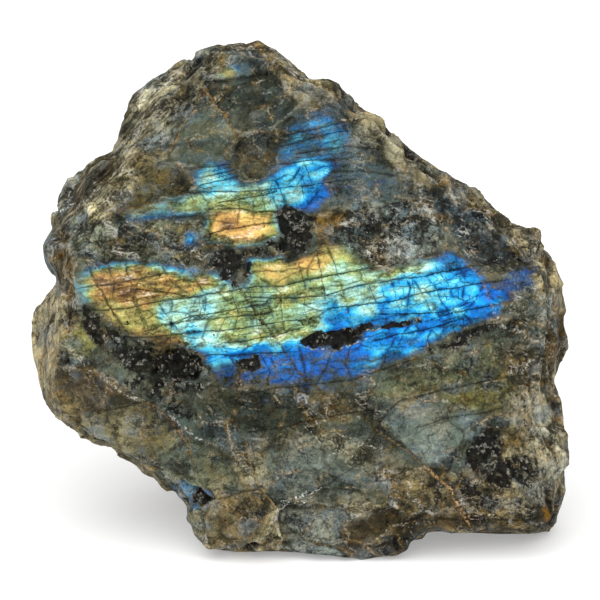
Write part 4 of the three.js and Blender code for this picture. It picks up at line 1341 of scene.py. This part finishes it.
def long_edges(shape, settings):
    """Edges above the seat that are longer than the front or the back of the stone allows."""
    found, to_back = [], Vector(TO_BACK)
    for edge in shape.edges:
        if max(v.co.z for v in edge.verts) < SEAT_TOP:
            continue
        seen = any(f.normal.dot(to_back) < -FRONT_FACING for f in edge.link_faces)
        if edge.calc_length() > (settings.front_edge if seen else settings.back_edge):
            found.append(edge)
    return found


def stone_mesh(settings):
    """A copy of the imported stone, merged and divided finely enough to carve."""
    shape = bmesh.new()
    shape.from_mesh(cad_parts[STONE_NODE].data)
    bmesh.ops.remove_doubles(shape, verts=shape.verts, dist=MERGE_REACH)
    for _ in range(DIVISIONS):
        shape.normal_update()
        bmesh.ops.subdivide_edges(shape, edges=long_edges(shape, settings), cuts=1)
        bmesh.ops.triangulate(shape, faces=[f for f in shape.faces if len(f.verts) > 3])
        lifted = [v for v in shape.verts if v.co.z > SEAT_TOP]
        bmesh.ops.smooth_vert(
            shape, verts=lifted, factor=EVENING, use_axis_x=True, use_axis_y=True, use_axis_z=True)
    mesh = bpy.data.meshes.new(STONE_PIECE)
    shape.to_mesh(mesh)
    shape.free()
    mesh.materials.clear()
    return mesh


class LABRADORITE_OT_stone(bpy.types.Operator):
    """Make the broken stone with its relief, tints and flashes"""

    bl_idname = "labradorite.stone"
    bl_label = "Stone"

    def execute(self, context):
        settings = context.scene.labradorite_stone
        mesh = stone_mesh(settings)
        stone = Surface(mesh)
        grit = grit_field(stone)
        height = carve(mesh, stone, settings, grit)
        paint(mesh, stone, settings, grit, height)
        mesh.shade_smooth()
        mesh.set_sharp_from_angle(angle=SHARP_ANGLE)
        mesh.materials.append(labradorite_material(settings))
        piece = bpy.data.objects.new(STONE_PIECE, mesh)
        context.scene.collection.objects.link(piece)
        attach(piece, "root")
        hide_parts(STONE_NODE)
        return {"FINISHED"}


class LABRADORITE_OT_stage(bpy.types.Operator):
    """Set the pale floor, the soft studio light and the camera"""

    bl_idname = "labradorite.stage"
    bl_label = "Stage"

    def execute(self, context):
        settings = context.scene.labradorite_stage
        scene = context.scene
        add_floor(scene, settings)
        add_room(scene, settings)
        add_light(scene, settings)
        add_camera(scene)
        scene.view_settings.view_transform = "Standard"
        return {"FINISHED"}


def add_floor(scene, settings):
    """A wide flat floor, pale and a little lit from below, so that the shadow stays soft."""
    shape = bmesh.new()
    bmesh.ops.create_grid(shape, x_segments=1, y_segments=1, size=settings.floor_size / 2)
    mesh = bpy.data.meshes.new("studio_floor")
    shape.to_mesh(mesh)
    shape.free()
    material = bpy.data.materials.new("studio_floor")
    material.use_nodes = True
    shader = material.node_tree.nodes["Principled BSDF"]
    shader.inputs["Base Color"].default_value = (*settings.floor_colour, 1)
    shader.inputs["Roughness"].default_value = FLOOR_ROUGHNESS
    shader.inputs["Specular IOR Level"].default_value = 0.0
    shader.inputs["Emission Color"].default_value = (1, 1, 1, 1)
    shader.inputs["Emission Strength"].default_value = settings.floor_glow
    mesh.materials.append(material)
    floor = bpy.data.objects.new("studio_floor", mesh)
    scene.collection.objects.link(floor)


def add_room(scene, settings):
    """Even white light from all around."""
    world = bpy.data.worlds.new("studio")
    world.use_nodes = True
    background = world.node_tree.nodes["Background"]
    background.inputs["Color"].default_value = (1, 1, 1, 1)
    background.inputs["Strength"].default_value = settings.sky_strength
    scene.world = world


def add_light(scene, settings):
    """A wide soft light from the upper left front."""
    light = bpy.data.lights.new("key", "SUN")
    light.energy = settings.key_strength
    light.angle = settings.key_spread
    lamp = bpy.data.objects.new("key", light)
    lamp.location = -LIGHT_DIRECTION
    lamp.rotation_mode = "QUATERNION"
    lamp.rotation_quaternion = LIGHT_DIRECTION.to_track_quat("-Z", "Y")
    scene.collection.objects.link(lamp)


def add_camera(scene):
    """A camera that sees the stone as the picture does."""
    lens = bpy.data.cameras.new("camera")
    lens.sensor_width = SENSOR_WIDTH
    lens.lens = SENSOR_WIDTH * FOCAL_PIXELS / PICTURE
    camera = bpy.data.objects.new("camera", lens)
    camera.location = (FACE_MIDDLE + TO_UP * PICTURE_RISE - TO_BACK * CAMERA_DISTANCE) * MM
    camera.rotation_mode = "QUATERNION"
    camera.rotation_quaternion = Vector(TO_BACK).to_track_quat("-Z", "Y")
    scene.collection.objects.link(camera)
    scene.camera = camera


class LABRADORITE_PT_panel(bpy.types.Panel):
    """The stone's and the stage's settings"""

    bl_idname = "LABRADORITE_PT_panel"
    bl_label = "Labradorite"
    bl_space_type = "VIEW_3D"
    bl_region_type = "UI"
    bl_category = "Labradorite"

    def draw(self, context):
        for operator, settings in (
            (LABRADORITE_OT_stone, context.scene.labradorite_stone),
            (LABRADORITE_OT_stage, context.scene.labradorite_stage),
        ):
            self.layout.operator(operator.bl_idname)
            for name in settings.__annotations__:
                self.layout.prop(settings, name)


CLASSES = (StoneSettings, StageSettings, LABRADORITE_OT_stone, LABRADORITE_OT_stage, LABRADORITE_PT_panel)


def register():
    """Makes the settings, operators and panel known, and gives every scene its settings."""
    for cls in CLASSES:
        bpy.utils.register_class(cls)
    bpy.types.Scene.labradorite_stone = bpy.props.PointerProperty(type=StoneSettings)
    bpy.types.Scene.labradorite_stage = bpy.props.PointerProperty(type=StageSettings)


def unregister():
    """Takes back what register did."""
    del bpy.types.Scene.labradorite_stage
    del bpy.types.Scene.labradorite_stone
    for cls in reversed(CLASSES):
        bpy.utils.unregister_class(cls)


def main():
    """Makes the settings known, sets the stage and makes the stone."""
    register()
    bpy.ops.labradorite.stage()
    bpy.ops.labradorite.stone()


if __name__ == "__main__":
    main()
